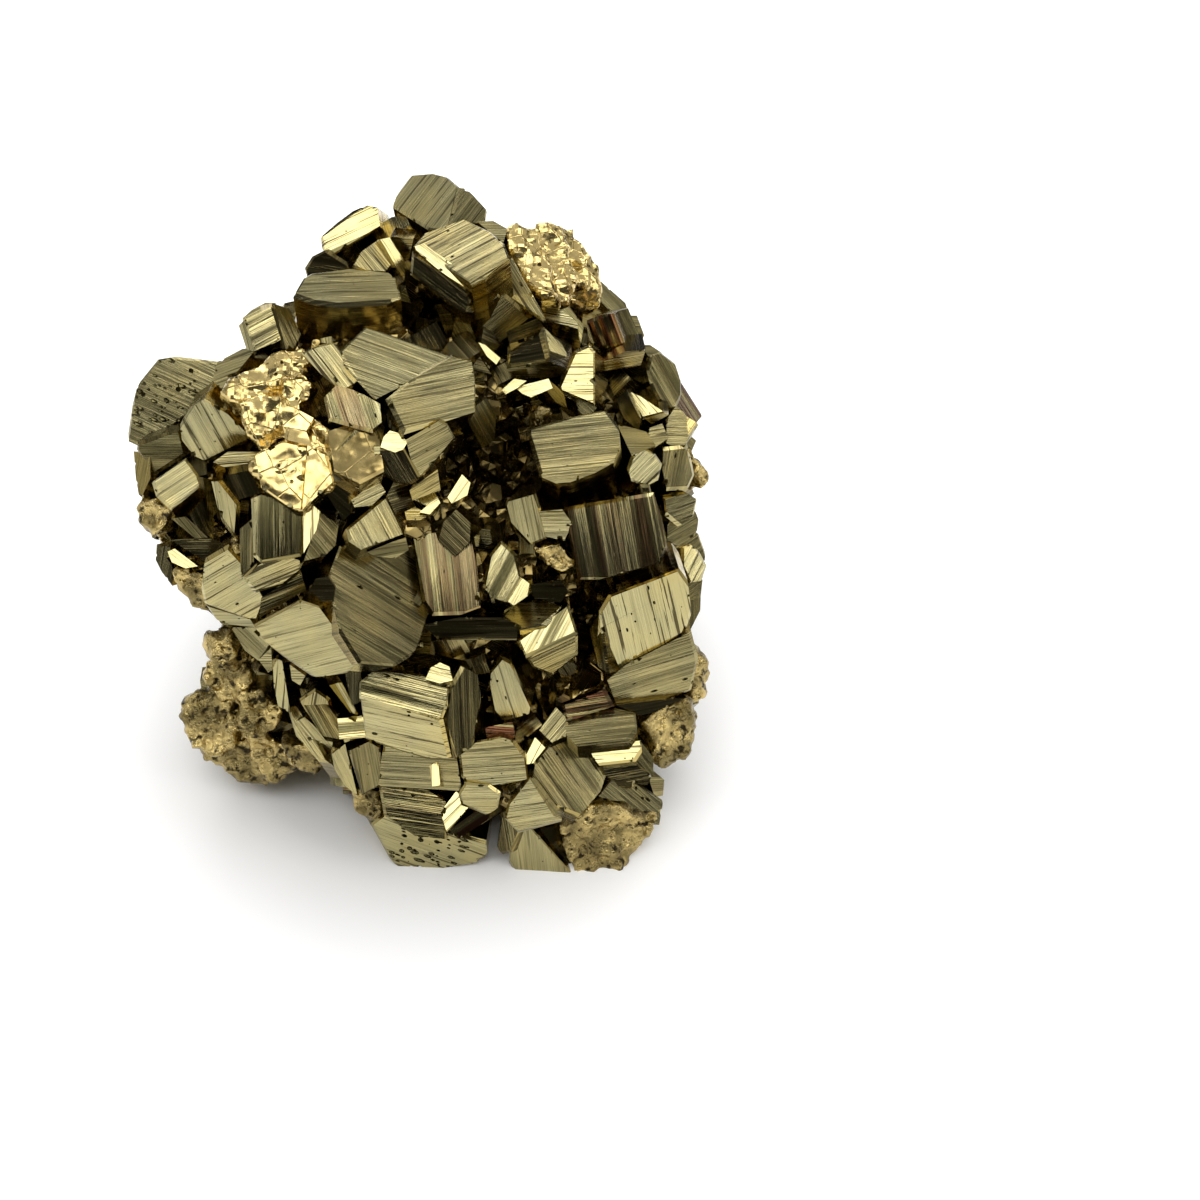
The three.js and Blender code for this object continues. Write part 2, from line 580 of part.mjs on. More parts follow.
// The lumpy rock that carries the crystals: each lobe, sunk below its crystals
function lobeSolid(lobe, number) {
  const geometry = new THREE.IcosahedronGeometry(1, 1);
  geometry.deleteAttribute("normal");
  geometry.deleteAttribute("uv");
  const merged = mergeVertices(geometry, weldDistance);
  const position = merged.getAttribute("position");
  for (let i = 0; i < position.count; i += 1) {
    const lump = 1 + rockUnevenness * (scatter(i, 20 + number) - 0.5);
    position.setXYZ(
      i,
      lobe.centre[0] + position.getX(i) * (lobe.radii[0] - sink) * lump,
      lobe.centre[1] + position.getY(i) * (lobe.radii[1] - sink) * lump,
      lobe.centre[2] + position.getZ(i) * (lobe.radii[2] - sink) * lump,
    );
  }
  return merged;
}

// Joining and cutting
const wasm = await Module();
wasm.setup();

function toSolid(geometry) {
  const bare = geometry.clone();
  bare.deleteAttribute("normal");
  bare.deleteAttribute("uv");
  const merged = mergeVertices(bare, weldDistance);
  return new wasm.Manifold(new wasm.Mesh({
    numProp: 3,
    vertProperties: new Float32Array(merged.getAttribute("position").array),
    triVerts: new Uint32Array(merged.getIndex().array),
  }));
}

function toGeometry(solid) {
  const { vertProperties, triVerts } = solid.getMesh();
  const geometry = new THREE.BufferGeometry();
  geometry.setAttribute("position", new THREE.Float32BufferAttribute(vertProperties, 3));
  geometry.setIndex(Array.from(triVerts));
  return geometry;
}

// The largest shell of a mesh whose triangles are joined by their corners, without sealed bubbles
function largestShell(geometry) {
  const index = geometry.getIndex().array;
  const owner = Array.from({ length: geometry.getAttribute("position").count }, (_, i) => i);
  const find = (i) => {
    let root = i;
    while (owner[root] !== root) {
      owner[root] = owner[owner[root]];
      root = owner[root];
    }
    return root;
  };
  for (let i = 0; i < index.length; i += 3) {
    owner[find(index[i + 1])] = find(index[i]);
    owner[find(index[i + 2])] = find(index[i]);
  }
  const sizes = new Map();
  for (let i = 0; i < index.length; i += 3) {
    const root = find(index[i]);
    sizes.set(root, (sizes.get(root) ?? 0) + 1);
  }
  const [main] = [...sizes.entries()].sort((a, b) => b[1] - a[1])[0];
  const kept = [];
  for (let i = 0; i < index.length; i += 3) {
    if (find(index[i]) === main) {
      kept.push(index[i], index[i + 1], index[i + 2]);
    }
  }
  geometry.setIndex(kept);
  return mergeVertices(geometry.toNonIndexed(), finestWeld);
}

// All the solids joined in one, two by two
function joinAll(solids) {
  let layer = solids;
  while (layer.length > 1) {
    const next = [];
    for (let i = 0; i < layer.length; i += 2) {
      next.push(i + 1 < layer.length ? layer[i].add(layer[i + 1]) : layer[i]);
    }
    layer = next;
  }
  return layer[0];
}

// A dark hollow, drawn out along its line of sight
function hollowSolid({ at, radius, depth }) {
  const line = sightLine(at);
  const geometry = new THREE.IcosahedronGeometry(1, 1);
  geometry.scale(radius, radius, depth);
  const turned = new THREE.Quaternion().setFromUnitVectors(new THREE.Vector3(0, 0, 1), line);
  geometry.applyQuaternion(turned);
  const middle = eye.clone().addScaledVector(line, distanceToLobes(eye, line));
  return geometry.translate(middle.x, middle.y, middle.z);
}

// How far round the surface faces from the eye, as cosines, where side and back crystals begin
const sideEdge = -0.35;
const backEdge = 0.12;

// Everything joined, then cut flat where it rests
const solids = [];
const rock = joinAll(lobes.map((lobe, number) => toSolid(lobeSolid(lobe, number))));
solids.push(rock.subtract(joinAll(hollows.map((hollow) => toSolid(hollowSolid(hollow))))));
for (const crystal of crystals) {
  solids.push(toSolid(seenCrystal(crystal)));
}
for (let i = 0; i < grownCount; i += 1) {
  const direction = evenDirection(i, grownCount);
  const away = surfacePoint(direction).facing.dot(sight);
  if (away > sideEdge) {
    solids.push(toSolid(grownCrystal(i, away > backEdge ? backCrystals : sideCrystals, direction)));
  }
}
const everything = joinAll(solids);
const room = new THREE.BoxGeometry(4 * bodyWidth, 4 * bodyWidth, 4 * bodyHeight);
room.translate(0, 0, 2 * bodyHeight);
const cluster = everything.intersect(toSolid(room));

const pyrite = new THREE.MeshStandardMaterial({ color: "#8f8a63", roughness: 0.3, metalness: 0.9 });
const specimen = new THREE.Group();
const clusterMesh = new THREE.Mesh(largestShell(toGeometry(cluster)), pyrite);
clusterMesh.geometry.translate(...toMiddle);
clusterMesh.name = "pyrite_cluster";
specimen.add(clusterMesh);

export default specimen;
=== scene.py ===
"""Pyrite specimen: a cluster of striated crystals that grew together on lumpy golden rock.

The crystals are modelled in millimetres, joined in one closed mesh and then brought to metres.
"""
import json
import logging
import math
from dataclasses import dataclass, field
from enum import Enum

import bmesh
import bpy
import numpy as np
from mathutils import Matrix, Quaternion, Vector

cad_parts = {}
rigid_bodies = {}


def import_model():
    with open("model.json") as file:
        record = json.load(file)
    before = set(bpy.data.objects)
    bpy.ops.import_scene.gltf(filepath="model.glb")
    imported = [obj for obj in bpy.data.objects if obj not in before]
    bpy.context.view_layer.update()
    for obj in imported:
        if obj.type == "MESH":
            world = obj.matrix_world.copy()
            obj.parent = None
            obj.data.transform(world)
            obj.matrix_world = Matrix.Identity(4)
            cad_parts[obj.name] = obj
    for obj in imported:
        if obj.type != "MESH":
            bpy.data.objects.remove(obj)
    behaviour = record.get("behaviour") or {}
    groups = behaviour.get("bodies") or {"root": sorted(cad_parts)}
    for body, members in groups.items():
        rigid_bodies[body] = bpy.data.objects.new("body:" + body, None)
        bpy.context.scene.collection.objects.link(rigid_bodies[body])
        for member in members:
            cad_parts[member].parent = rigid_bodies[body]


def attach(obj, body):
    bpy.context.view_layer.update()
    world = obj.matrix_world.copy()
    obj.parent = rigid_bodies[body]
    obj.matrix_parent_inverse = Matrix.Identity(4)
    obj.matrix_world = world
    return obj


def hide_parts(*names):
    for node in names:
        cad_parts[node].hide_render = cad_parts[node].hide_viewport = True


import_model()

log = logging.getLogger("pyrite_specimen")
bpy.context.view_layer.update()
NODE = "pyrite_cluster"
MILLIMETRE = 0.001
UP = Vector((0.0, 0.0, 1.0))
RIGHT = Vector((1.0, 0.0, 0.0))

Colour = tuple[float, float, float, float]
Corner = tuple[float, float]
Pair = tuple[float, float]
# A range of a pattern's values and the range that it is brought to
Span = tuple[float, float, float, float]
# Stands in for zero where something is divided by it
TINY = 1e-9


class Finish(Enum):
    """Which finish a face of the cluster takes, as its place in the list of material slots."""

    CRYSTAL = 0
    CRUMBLY = 1
    HAMMERED = 2
    ROCK = 3


class Skin(Enum):
    """What the surface of a block is like."""

    FACETED = 0
    PITTED = 1
    SMOOTH = 2
    CRUMBLY = 3
    HAMMERED = 4


class Tone(Enum):
    """How tarnished and how bright a crystal looks: brightness, warmth, redness, and how strongly it is
    banded; the brightness is partly painted reflected light, low where a face would mirror darkness and high
    where it mirrors a lamp.
    """

    FRESH = (0.95, 0.35, 0.0, 0.45)
    BANDED = (0.62, 0.35, 0.0, 1.3)
    PALE = (0.78, 0.3, 0.0, 0.18)
    PLAIN = (0.58, 0.4, 0.05, 0.28)
    OLIVE = (0.27, 0.5, 0.1, 0.3)
    DARK = (0.2, 0.5, 0.15, 0.6)
    RUSSET = (0.35, 0.6, 0.9, 0.4)
    ROSY = (0.7, 0.35, 0.5, 0.6)
    STREAKED = (0.40, 0.4, 0.45, 1.2)
    GOLD = (0.8, 0.9, 0.0, 0.2)


@dataclass(frozen=True)
class View:
    """The eye point that the visible crystals are outlined from, in a square 1200 frame."""

    eye: Vector = field(default_factory=lambda: Vector((12.45, -97.33, 96.3)))
    aim: Vector = field(default_factory=lambda: Vector((12.45, 12.77, 0.0)))
    middle: float = 600.0
    focal: float = 1722.0

    @property
    def sight(self) -> Vector:
        """The unit line of sight."""
        return (self.aim - self.eye).normalized()

    @property
    def rise(self) -> Vector:
        """The unit vector that points up in the view."""
        return RIGHT.cross(self.sight)

    def ray(self, x: float, y: float) -> Vector:
        """Give the line of sight through a place in the frame.

        Args:
            x: distance from the frame's left edge.
            y: distance from the frame's top edge.

        Returns:
            The unit direction from the eye.
        """
        line = self.sight.copy()
        line += RIGHT * ((x - self.middle) / self.focal)
        line += self.rise * ((self.middle - y) / self.focal)
        return line.normalized()

    def place(self, point: Vector) -> Corner:
        """Give the place in the frame where a point is seen.

        Args:
            point: the point, in millimetres.

        Returns:
            Its distances from the frame's left and top edges.
        """
        offset = point - self.eye
        reach = offset.dot(self.sight)
        x = self.middle + self.focal * offset.x / reach
        return x, self.middle - self.focal * offset.dot(self.rise) / reach


VIEW = View()
# Three uneven numbers that set how scatter mixes
MIXING = (12.9898, 78.233, 43758.5453)


def scatter(index: float, salt: float) -> float:
    """Give a repeatable number from 0 to 1.

    Args:
        index: which thing it is for.
        salt: which of its properties it is for.

    Returns:
        The number.
    """
    value = math.sin(index * MIXING[0] + salt * MIXING[1]) * MIXING[2]
    return value - math.floor(value)


@dataclass(frozen=True)
class Lobe:
    """A round lobe that crystals stand on, in millimetres."""

    name: str
    centre: tuple[float, float, float]
    radii: tuple[float, float, float]

    def cross(self, start: Vector, direction: Vector) -> tuple[float, float] | None:
        """Find where a line enters and leaves the lobe.

        Args:
            start: a point of the line.
            direction: the line's unit direction.

        Returns:
            The two distances along the line, or None where it misses.
        """
        radii = Vector(self.radii)
        source = Vector(a / b for a, b in zip(start - Vector(self.centre), radii))
        along = Vector(a / b for a, b in zip(direction, radii))
        a, b, c = along.length_squared, source.dot(along), source.length_squared - 1.0
        inside = b * b - a * c
        if inside < 0.0:
            return None
        root = math.sqrt(inside)
        return (-b - root) / a, (-b + root) / a


LOBES = (
    Lobe("middle", (-0.75, 2.07, 19.00), (19.2, 15.8, 17.2)),
    Lobe("front base", (3.25, -4.93, 6.00), (15.5, 11.8, 9.0)),
    Lobe("back base", (-1.25, 6.57, 7.50), (13.5, 10.5, 9.5)),
    Lobe("lower left lump", (-12.25, -3.43, 4.80), (7.0, 7.0, 7.0)),
    Lobe("summit", (0.75, 7.57, 30.00), (10.5, 9.0, 9.5)),
    Lobe("upper left", (-12.25, 0.07, 21.50), (9.0, 10.5, 9.0)),
    Lobe("upper right", (10.25, 0.57, 24.00), (9.8, 12.0, 9.5)),
    Lobe("lower right", (11.75, -5.43, 9.00), (8.5, 10.0, 9.5)),
)
# The point inside the lobes that directions are counted from
HEART = Vector((-0.25, 0.57, 16.0))
# How far below the lobes' surface a crystal's root starts
SINK = 1.4


def reach_lobes(direction: Vector) -> float:
    """Give how far a line of sight goes before it meets the lobes.

    Args:
        direction: the line's unit direction from the eye.

    Returns:
        The distance; for a line that misses, that of the place where it passes closest.
    """
    nearest = math.inf
    miss, fallback = math.inf, 0.0
    for lobe in LOBES:
        crossing = lobe.cross(VIEW.eye, direction)
        if crossing:
            nearest = min(nearest, crossing[0])
            continue
        along = (Vector(lobe.centre) - VIEW.eye).dot(direction)
        offset = VIEW.eye + direction * along - Vector(lobe.centre)
        gap = Vector(a / b for a, b in zip(offset, lobe.radii)).length
        if gap < miss:
            miss, fallback = gap, along
    return fallback if nearest == math.inf else nearest


def surface_point(direction: Vector) -> tuple[Vector, Vector]:
    """Find the outermost point of the lobes in a direction from their middle.

    Args:
        direction: the unit direction.

    Returns:
        The point, and the way the surface faces there.
    """
    best, lobe = max(
        ((crossing[1], lobe) for lobe in LOBES if (crossing := lobe.cross(HEART, direction))),
        key=lambda pair: pair[0])
    point = HEART + direction * best
    offset = point - Vector(lobe.centre)
    facing = Vector(a / (b * b) for a, b in zip(offset, lobe.radii)).normalized()
    return point, facing


@dataclass(frozen=True)
class Face:
    """A crystal face as seen: where it faces, how far it stands out, its striations and outline.

    The turn is to the right and the tilt upwards from the line of sight, and the grain is the
    direction of the striations in the frame, anticlockwise from level, all in degrees.
    """

    turn: float
    tilt: float
    out: float
    grain: float
    tone: Tone
    outline: str
    skin: Skin = Skin.FACETED


CROWN = (
    Face(-8, 42, 0.5, 52, Tone.PALE,
         "394,206 400,190 409,178 418,174 431,173 447,177 "
         "459,187 452,222 440,229 427,227 420,217 408,211"),
    Face(22, 35, 0.2, 52, Tone.PLAIN, "459,187 466,188 487,211 485,222 466,219 450,224"),
    Face(-19, 12, 0.3, 25, Tone.BANDED, "321,237 337,222 352,211 366,206 376,208 379,227 329,257 322,247"),
    Face(-20, -5, -0.8, -10, Tone.DARK, "305,268 312,257 326,250 345,262 350,272 325,272 308,278"),
    Face(5, 23, 0, -50, Tone.PLAIN, "362,252 379,240 396,258 390,268 386,273 368,272 354,266"),
    Face(19, 15, 0.2, -55, Tone.FRESH, "381,240 390,238 405,262 404,280 396,266"),
    Face(-10, -20, -0.8, 0, Tone.DARK, "391,237 413,239 409,258 404,262"),
    Face(-6, 48, 2.0, 28, Tone.PLAIN,
         "415,245 424,234 441,228 466,219 487,229 503,243 508,257 484,275 471,281"),
    Face(5, 45, -0.5, 0, Tone.PLAIN, "478,222 493,221 507,229 503,242 490,232"),
    Face(10, -15, 0, 38, Tone.OLIVE, "472,300 500,290 532,318 500,345 483,340 478,318"),
    Face(0, -10, -0.3, 20, Tone.DARK, "507,332 538,318 543,328 512,350"),
    Face(-5, -19, -2, -60, Tone.OLIVE, "455,322 470,325 478,345 473,352 455,350 452,338"),
    Face(20, 14, -0.5, -40, Tone.FRESH, "479,343 485,345 500,358 496,364 487,356"),
    Face(-4, 40, 1.8, 2, Tone.PALE,
         "295,295 305,278 315,272 345,268 385,272 395,280 399,297 385,302 340,305 315,302"),
    Face(-8, 12, 2.1, -37, Tone.FRESH, "416,247 424,244 437,256 456,267 471,281 465,287 440,271 417,251"),
    Face(-14, 2, 1.7, -37, Tone.DARK, "413,252 440,270 466,287 470,300 462,313 440,298 411,275"),
    Face(16, -8, 1.3, 38, Tone.OLIVE, "467,287 484,274 499,279 500,297 480,314 463,313 460,300"),
)
GOLD_TOP = (
    Face(5, 25, 0.3, -55, Tone.GOLD,
         "508,232 516,225 540,225 552,262 557,296 541,300 509,258", skin=Skin.HAMMERED),
    Face(-10, 25, 0.8, -58, Tone.PLAIN, "505,262 511,256 542,312 541,319 526,308 500,292"),
    Face(8, 28, 0.5, 0, Tone.GOLD, "538,227 562,226 572,262 568,300 548,300 541,262", skin=Skin.HAMMERED),
    Face(15, 35, 0, 30, Tone.GOLD, "545,228 575,226 587,250 566,262 552,256 543,240", skin=Skin.HAMMERED),
    Face(20, 25, 0.6, -20, Tone.GOLD, "553,258 587,250 600,270 594,284 562,285 556,272", skin=Skin.HAMMERED),
    Face(12, 15, 0.8, 10, Tone.GOLD, "558,286 596,282 600,305 582,312 565,303", skin=Skin.HAMMERED),
    Face(0, 10, 0, -50, Tone.DARK, "541,300 557,297 566,303 583,325 580,345 577,330 560,312"),
)
RIGHT_TOP = (
    Face(35, 25, -0.3, -45, Tone.PLAIN, "600,281 613,293 625,303 629,316 612,313 600,300"),
    Face(-12, -6, 1.0, -68, Tone.RUSSET, "587,321 600,316 613,314 624,343 606,348 590,345"),
    Face(30, 5, 0.8, -65, Tone.OLIVE, "614,313 628,309 639,335 637,350 625,344"),
    Face(45, 15, -0.6, 0, Tone.PLAIN, "630,316 637,316 644,335 640,345 634,330"),
    Face(35, 30, -1, 0, Tone.PLAIN, "640,345 650,345 662,353 650,358"),
    Face(-5, 45, 0.8, -10, Tone.PALE, "541,304 548,300 577,322 577,328 539,318"),
    Face(-12, -4, 1.2, 12, Tone.DARK, "510,352 541,330 549,361 536,366 508,369"),
    Face(31, 21, 1.3, -50, Tone.PALE, "544,328 562,345 574,369 553,363 548,350"),
    Face(0, -35, 0.9, 0, Tone.DARK, "508,369 549,362 571,372 549,378 512,377"),
    Face(-15, 11, 1.5, 0, Tone.FRESH, "574,351 588,345 594,352 594,404 582,398 563,391 561,380 574,374"),
    Face(-1, 13, 0.3, 12, Tone.FRESH, "516,387 548,379 552,388 531,397 522,393"),
    Face(-17, 14, 0.0, 20, Tone.FRESH, "502,390 514,379 526,381 517,388 506,394"),
    Face(-5, 10, 0.2, 0, Tone.GOLD, "532,411 540,403 549,407 551,418 541,425 534,421", skin=Skin.CRUMBLY),
    Face(12, -19, -0.5, -50, Tone.PLAIN, "551,382 563,392 567,408 556,402 548,392"),
    Face(32, 21, 0, -60, Tone.OLIVE,
         "652,356 662,352 675,362 681,380 681,398 674,412 660,400 652,385 648,370"),
    Face(5, -25, 0.2, 10, Tone.DARK, "603,362 625,352 645,350 640,365 606,371"),
    Face(-15, -5, -0.3, -58, Tone.DARK, "617,400 626,391 641,420 638,430 624,418"),
    Face(-15, 13, 0.1, -50, Tone.FRESH, "628,391 641,397 652,408 662,411 643,416"),
    Face(0, -25, -0.2, 0, Tone.DARK, "643,417 662,412 668,415 652,424"),
)
RIGHT_SIDE = (
    Face(9, 20, -0.3, 10, Tone.PALE, "650,428 662,424 668,438 655,447 648,438"),
    Face(32, 8, -0.2, 0, Tone.PALE, "667,420 676,407 686,415 688,438 684,448 667,443"),
    Face(13, 18, 1.0, 45, Tone.PALE, "632,456 645,448 655,453 662,463 658,479 646,485 632,480 628,468"),
    Face(10, 25, 0.6, 0, Tone.GOLD, "618,425 632,428 646,432 655,445 645,449 632,455 626,440"),
    Face(28, 1, 0.4, 80, Tone.PLAIN, "664,448 681,446 691,455 695,474 688,489 668,490 663,470"),
    Face(40, 0, -0.5, 0, Tone.GOLD, "690,450 701,460 706,478 700,488 695,475", skin=Skin.CRUMBLY),
    Face(30, -4, 0.3, 20, Tone.PALE, "664,496 683,491 697,500 694,515 679,526 667,516"),
    Face(32, -9, -0.2, 30, Tone.PLAIN, "668,525 695,512 698,520 696,535 680,545 668,540"),
    Face(24, 4, -1.9, 62, Tone.PALE, "682,548 690,545 700,552 707,565 702,580 690,582 682,564"),
    Face(30, -5, -1.8, 90, Tone.PLAIN, "692,585 701,580 700,610 690,630 685,615"),
    Face(-4, 22, 2.2, 6, Tone.PLAIN,
         "532,428 560,420 600,411 608,414 617,426 619,445 612,462 "
         "594,471 570,480 557,481 541,474 539,447 531,440"),
    Face(-4, 3, 1.9, -80, Tone.STREAKED,
         "568,508 600,505 640,497 652,494 660,520 664,545 656,562 600,578 580,578 572,545"),
    Face(16, -4, 2.3, -80, Tone.OLIVE, "641,486 650,486 664,540 660,560 652,562"),
    Face(6, -27, 2.9, -76, Tone.PALE,
         "601,612 610,597 640,586 678,571 686,582 690,615 "
         "684,632 660,648 640,655 626,664 609,673 599,648"),
    Face(-40, -10, 1.0, -80, Tone.DARK, "588,630 600,612 599,648 608,672 596,665"),
    Face(7, -25, 1.2, 17, Tone.PLAIN, "608,681 626,666 660,649 690,633 697,660 690,690 660,701 617,705"),
    Face(35, -5, 0, 60, Tone.GOLD, "690,633 700,650 708,672 705,690 694,700 690,680", skin=Skin.CRUMBLY),
)
RIGHT_FOOT = (
    Face(-2, 0, 1.0, 9, Tone.RUSSET, "562,703 598,689 604,688 613,706 568,721 564,712"),
    Face(-2, 22, 1.1, 6, Tone.PLAIN, "566,722 612,707 634,712 636,730 628,740 578,745 568,735"),
    Face(5, -10, 0.8, 12, Tone.DARK, "617,705 660,700 685,698 655,712 640,715"),
    Face(22, -10, 0.6, 60, Tone.GOLD,
         "642,722 660,706 690,701 701,716 698,735 688,752 662,764 651,745", skin=Skin.CRUMBLY),
    Face(-1, 8, 1.3, 3, Tone.FRESH, "590,748 640,741 641,752 635,761 600,765 594,757"),
    Face(32, -13, 1.2, -50, Tone.OLIVE, "640,741 653,758 653,776 642,764 635,761"),
    Face(0, -20, 0.4, 10, Tone.DARK, "602,766 636,762 650,778 646,785 612,779 606,775"),
    Face(40, -15, -0.2, 0, Tone.DARK, "652,770 664,780 663,795 655,797 650,782"),
    Face(12, 13, 2.0, -55, Tone.OLIVE,
         "555,738 568,733 590,748 605,775 600,790 578,815 560,808 535,775 537,760"),
    Face(27, -4, 1.2, -40, Tone.PALE, "603,790 613,779 640,784 662,800 658,824 620,822 590,806"),
    Face(12, -30, 3.9, 0, Tone.GOLD,
         "562,812 600,807 658,824 641,846 626,868 610,884 597,887 576,879 566,848", skin=Skin.CRUMBLY),
    Face(-6, -36, 3.8, -84, Tone.PALE,
         "511,848 517,831 530,828 541,846 560,862 575,878 567,887 545,885 518,877 510,864"),
    Face(14, -12, 3.4, 38, Tone.DARK, "531,830 561,822 573,850 577,878 560,861 540,845"),
    Face(-8, -27, 1.3, 8, Tone.PALE, "508,806 530,778 537,780 562,812 560,822 519,833 505,818"),
    Face(-30, -20, 0.6, -80, Tone.DARK, "497,845 503,810 510,808 520,832 512,852 502,854"),
)
FRONT_FOOT = (
    Face(-18, -30, 3.4, -12, Tone.PALE, "362,700 400,708 441,721 449,757 420,757 395,750 367,740"),
    Face(28, -9, 3.0, -88, Tone.OLIVE, "446,725 450,690 462,668 477,676 481,702 474,744 455,757"),
    Face(-8, -25, 1.3, -72, Tone.PALE,
         "490,690 492,670 502,658 511,663 530,704 528,713 515,708 503,720 494,710"),
    Face(-5, -26, 1.0, 4, Tone.PALE,
         "460,757 478,742 500,738 514,742 524,755 527,778 500,785 470,790 462,776"),
    Face(-4, -28, 1.1, 0, Tone.PALE, "459,795 466,783 490,786 500,793 497,808 485,815 462,806"),
    Face(-6, -26, 0.6, -3, Tone.PLAIN, "382,762 385,745 420,757 455,758 460,790 380,785"),
    Face(-18, 7, 0.8, 90, Tone.FRESH, "430,766 438,762 440,785 432,786"),
    Face(-5, -2, 0.4, -8, Tone.DARK, "380,787 430,790 446,800 441,812 445,838 415,835 385,815"),
    Face(-2, 6, 1.0, 45, Tone.FRESH, "441,812 456,792 460,798 470,805 447,831"),
    Face(10, -15, 0.6, 35, Tone.RUSSET, "447,832 475,812 490,812 487,820 460,838"),
    Face(-8, -36, 3.7, -20, Tone.PALE,
         "372,826 386,815 408,830 430,842 455,855 484,842 "
         "485,853 474,863 440,869 402,871 390,858", skin=Skin.PITTED),
    Face(-20, -27, 1.6, -22, Tone.PLAIN, "366,818 384,812 412,836 404,846 380,838 370,826"),
    Face(-20, -20, 0.4, 0, Tone.GOLD, "350,800 358,790 380,790 382,808 370,820 358,815", skin=Skin.CRUMBLY),
    Face(-27, -25, 0.3, -65, Tone.PALE, "332,755 345,745 350,770 357,795 345,785 335,770"),
    Face(-3, -26, 0.4, -80, Tone.OLIVE, "349,752 370,742 380,748 380,785 362,795 355,770"),
    Face(-3, -26, 0.5, 6, Tone.PALE, "338,722 361,716 367,735 345,742"),
    Face(-17, -25, 0.4, 85, Tone.PALE, "273,658 282,662 285,700 290,712 278,705 274,685"),
    Face(-10, -25, 0.5, 0, Tone.PALE, "290,665 305,676 300,685 292,680"),
    Face(13, -23, 0.4, -60, Tone.PALE, "330,686 342,683 358,715 350,712"),
    Face(-10, -26, 0.1, 80, Tone.PLAIN, "300,700 315,690 330,700 335,735 325,738 308,715"),
    Face(-20, -26, 0.2, -50, Tone.PALE, "297,722 305,718 332,742 330,755 312,742"),
    Face(-10, -20, 0.6, 90, Tone.FRESH, "345,672 360,668 362,700 352,705"),
    Face(-6, 1, 2.6, -14, Tone.BANDED,
         "361,683 378,669 400,672 430,676 447,684 446,705 440,721 400,711 361,699"),
    Face(-6, 12, 2.7, -14, Tone.FRESH, "426,679 431,668 440,663 449,667 452,680 440,683"),
)
LUMP = (
    Face(-12, 18, 0.5, -60, Tone.OLIVE, "300,688 318,690 342,720 338,738 322,735 305,708"),
    Face(-14, 20, 0.3, -55, Tone.PLAIN, "285,700 298,705 318,738 330,762 318,760 296,735"),
    Face(-6, 5, 0.9, 5, Tone.BANDED, "338,719 366,717 366,737 340,739"),
    Face(-5, -10, 3.4, 0, Tone.DARK, "310,590 316,579 328,577 335,588 333,600 322,601"),
    Face(-11, -25, -0.3, -45, Tone.PLAIN, "232,628 255,628 268,645 258,660 245,650"),
    Face(-11, -25, 0, 0, Tone.PLAIN, "259,660 271,648 272,670 268,672"),
    Face(-10, -30, -0.5, 0, Tone.PLAIN, "240,680 258,672 272,676 270,690 255,690"),
    Face(-15, -5, 0, 0, Tone.GOLD,
         "183,715 190,700 205,690 225,695 240,715 235,745 215,755 200,748 186,735", skin=Skin.CRUMBLY),
    Face(-15, -35, 0, 0, Tone.GOLD,
         "203,750 215,740 245,745 262,760 265,783 245,780 225,772 207,762", skin=Skin.CRUMBLY),
    Face(-20, 10, -0.5, 0, Tone.GOLD, "205,635 218,622 233,630 235,655 222,668 206,652", skin=Skin.CRUMBLY),
    Face(-15, 5, 0.3, 0, Tone.GOLD, "205,660 225,662 240,680 238,700 215,695 203,682", skin=Skin.CRUMBLY),
    Face(-5, -10, 0.5, 0, Tone.GOLD, "240,690 262,690 280,708 278,730 258,738 240,725", skin=Skin.CRUMBLY),
    Face(-5, -30, 0.4, 0, Tone.GOLD,
         "240,735 262,735 285,745 290,768 275,783 262,780 248,760", skin=Skin.CRUMBLY),
    Face(0, -35, 0.2, 0, Tone.GOLD, "285,748 312,745 330,758 333,772 310,775 292,770", skin=Skin.CRUMBLY),
    Face(-10, 0, 0.6, 0, Tone.GOLD, "225,655 245,660 255,680 240,690 228,680", skin=Skin.CRUMBLY),
)
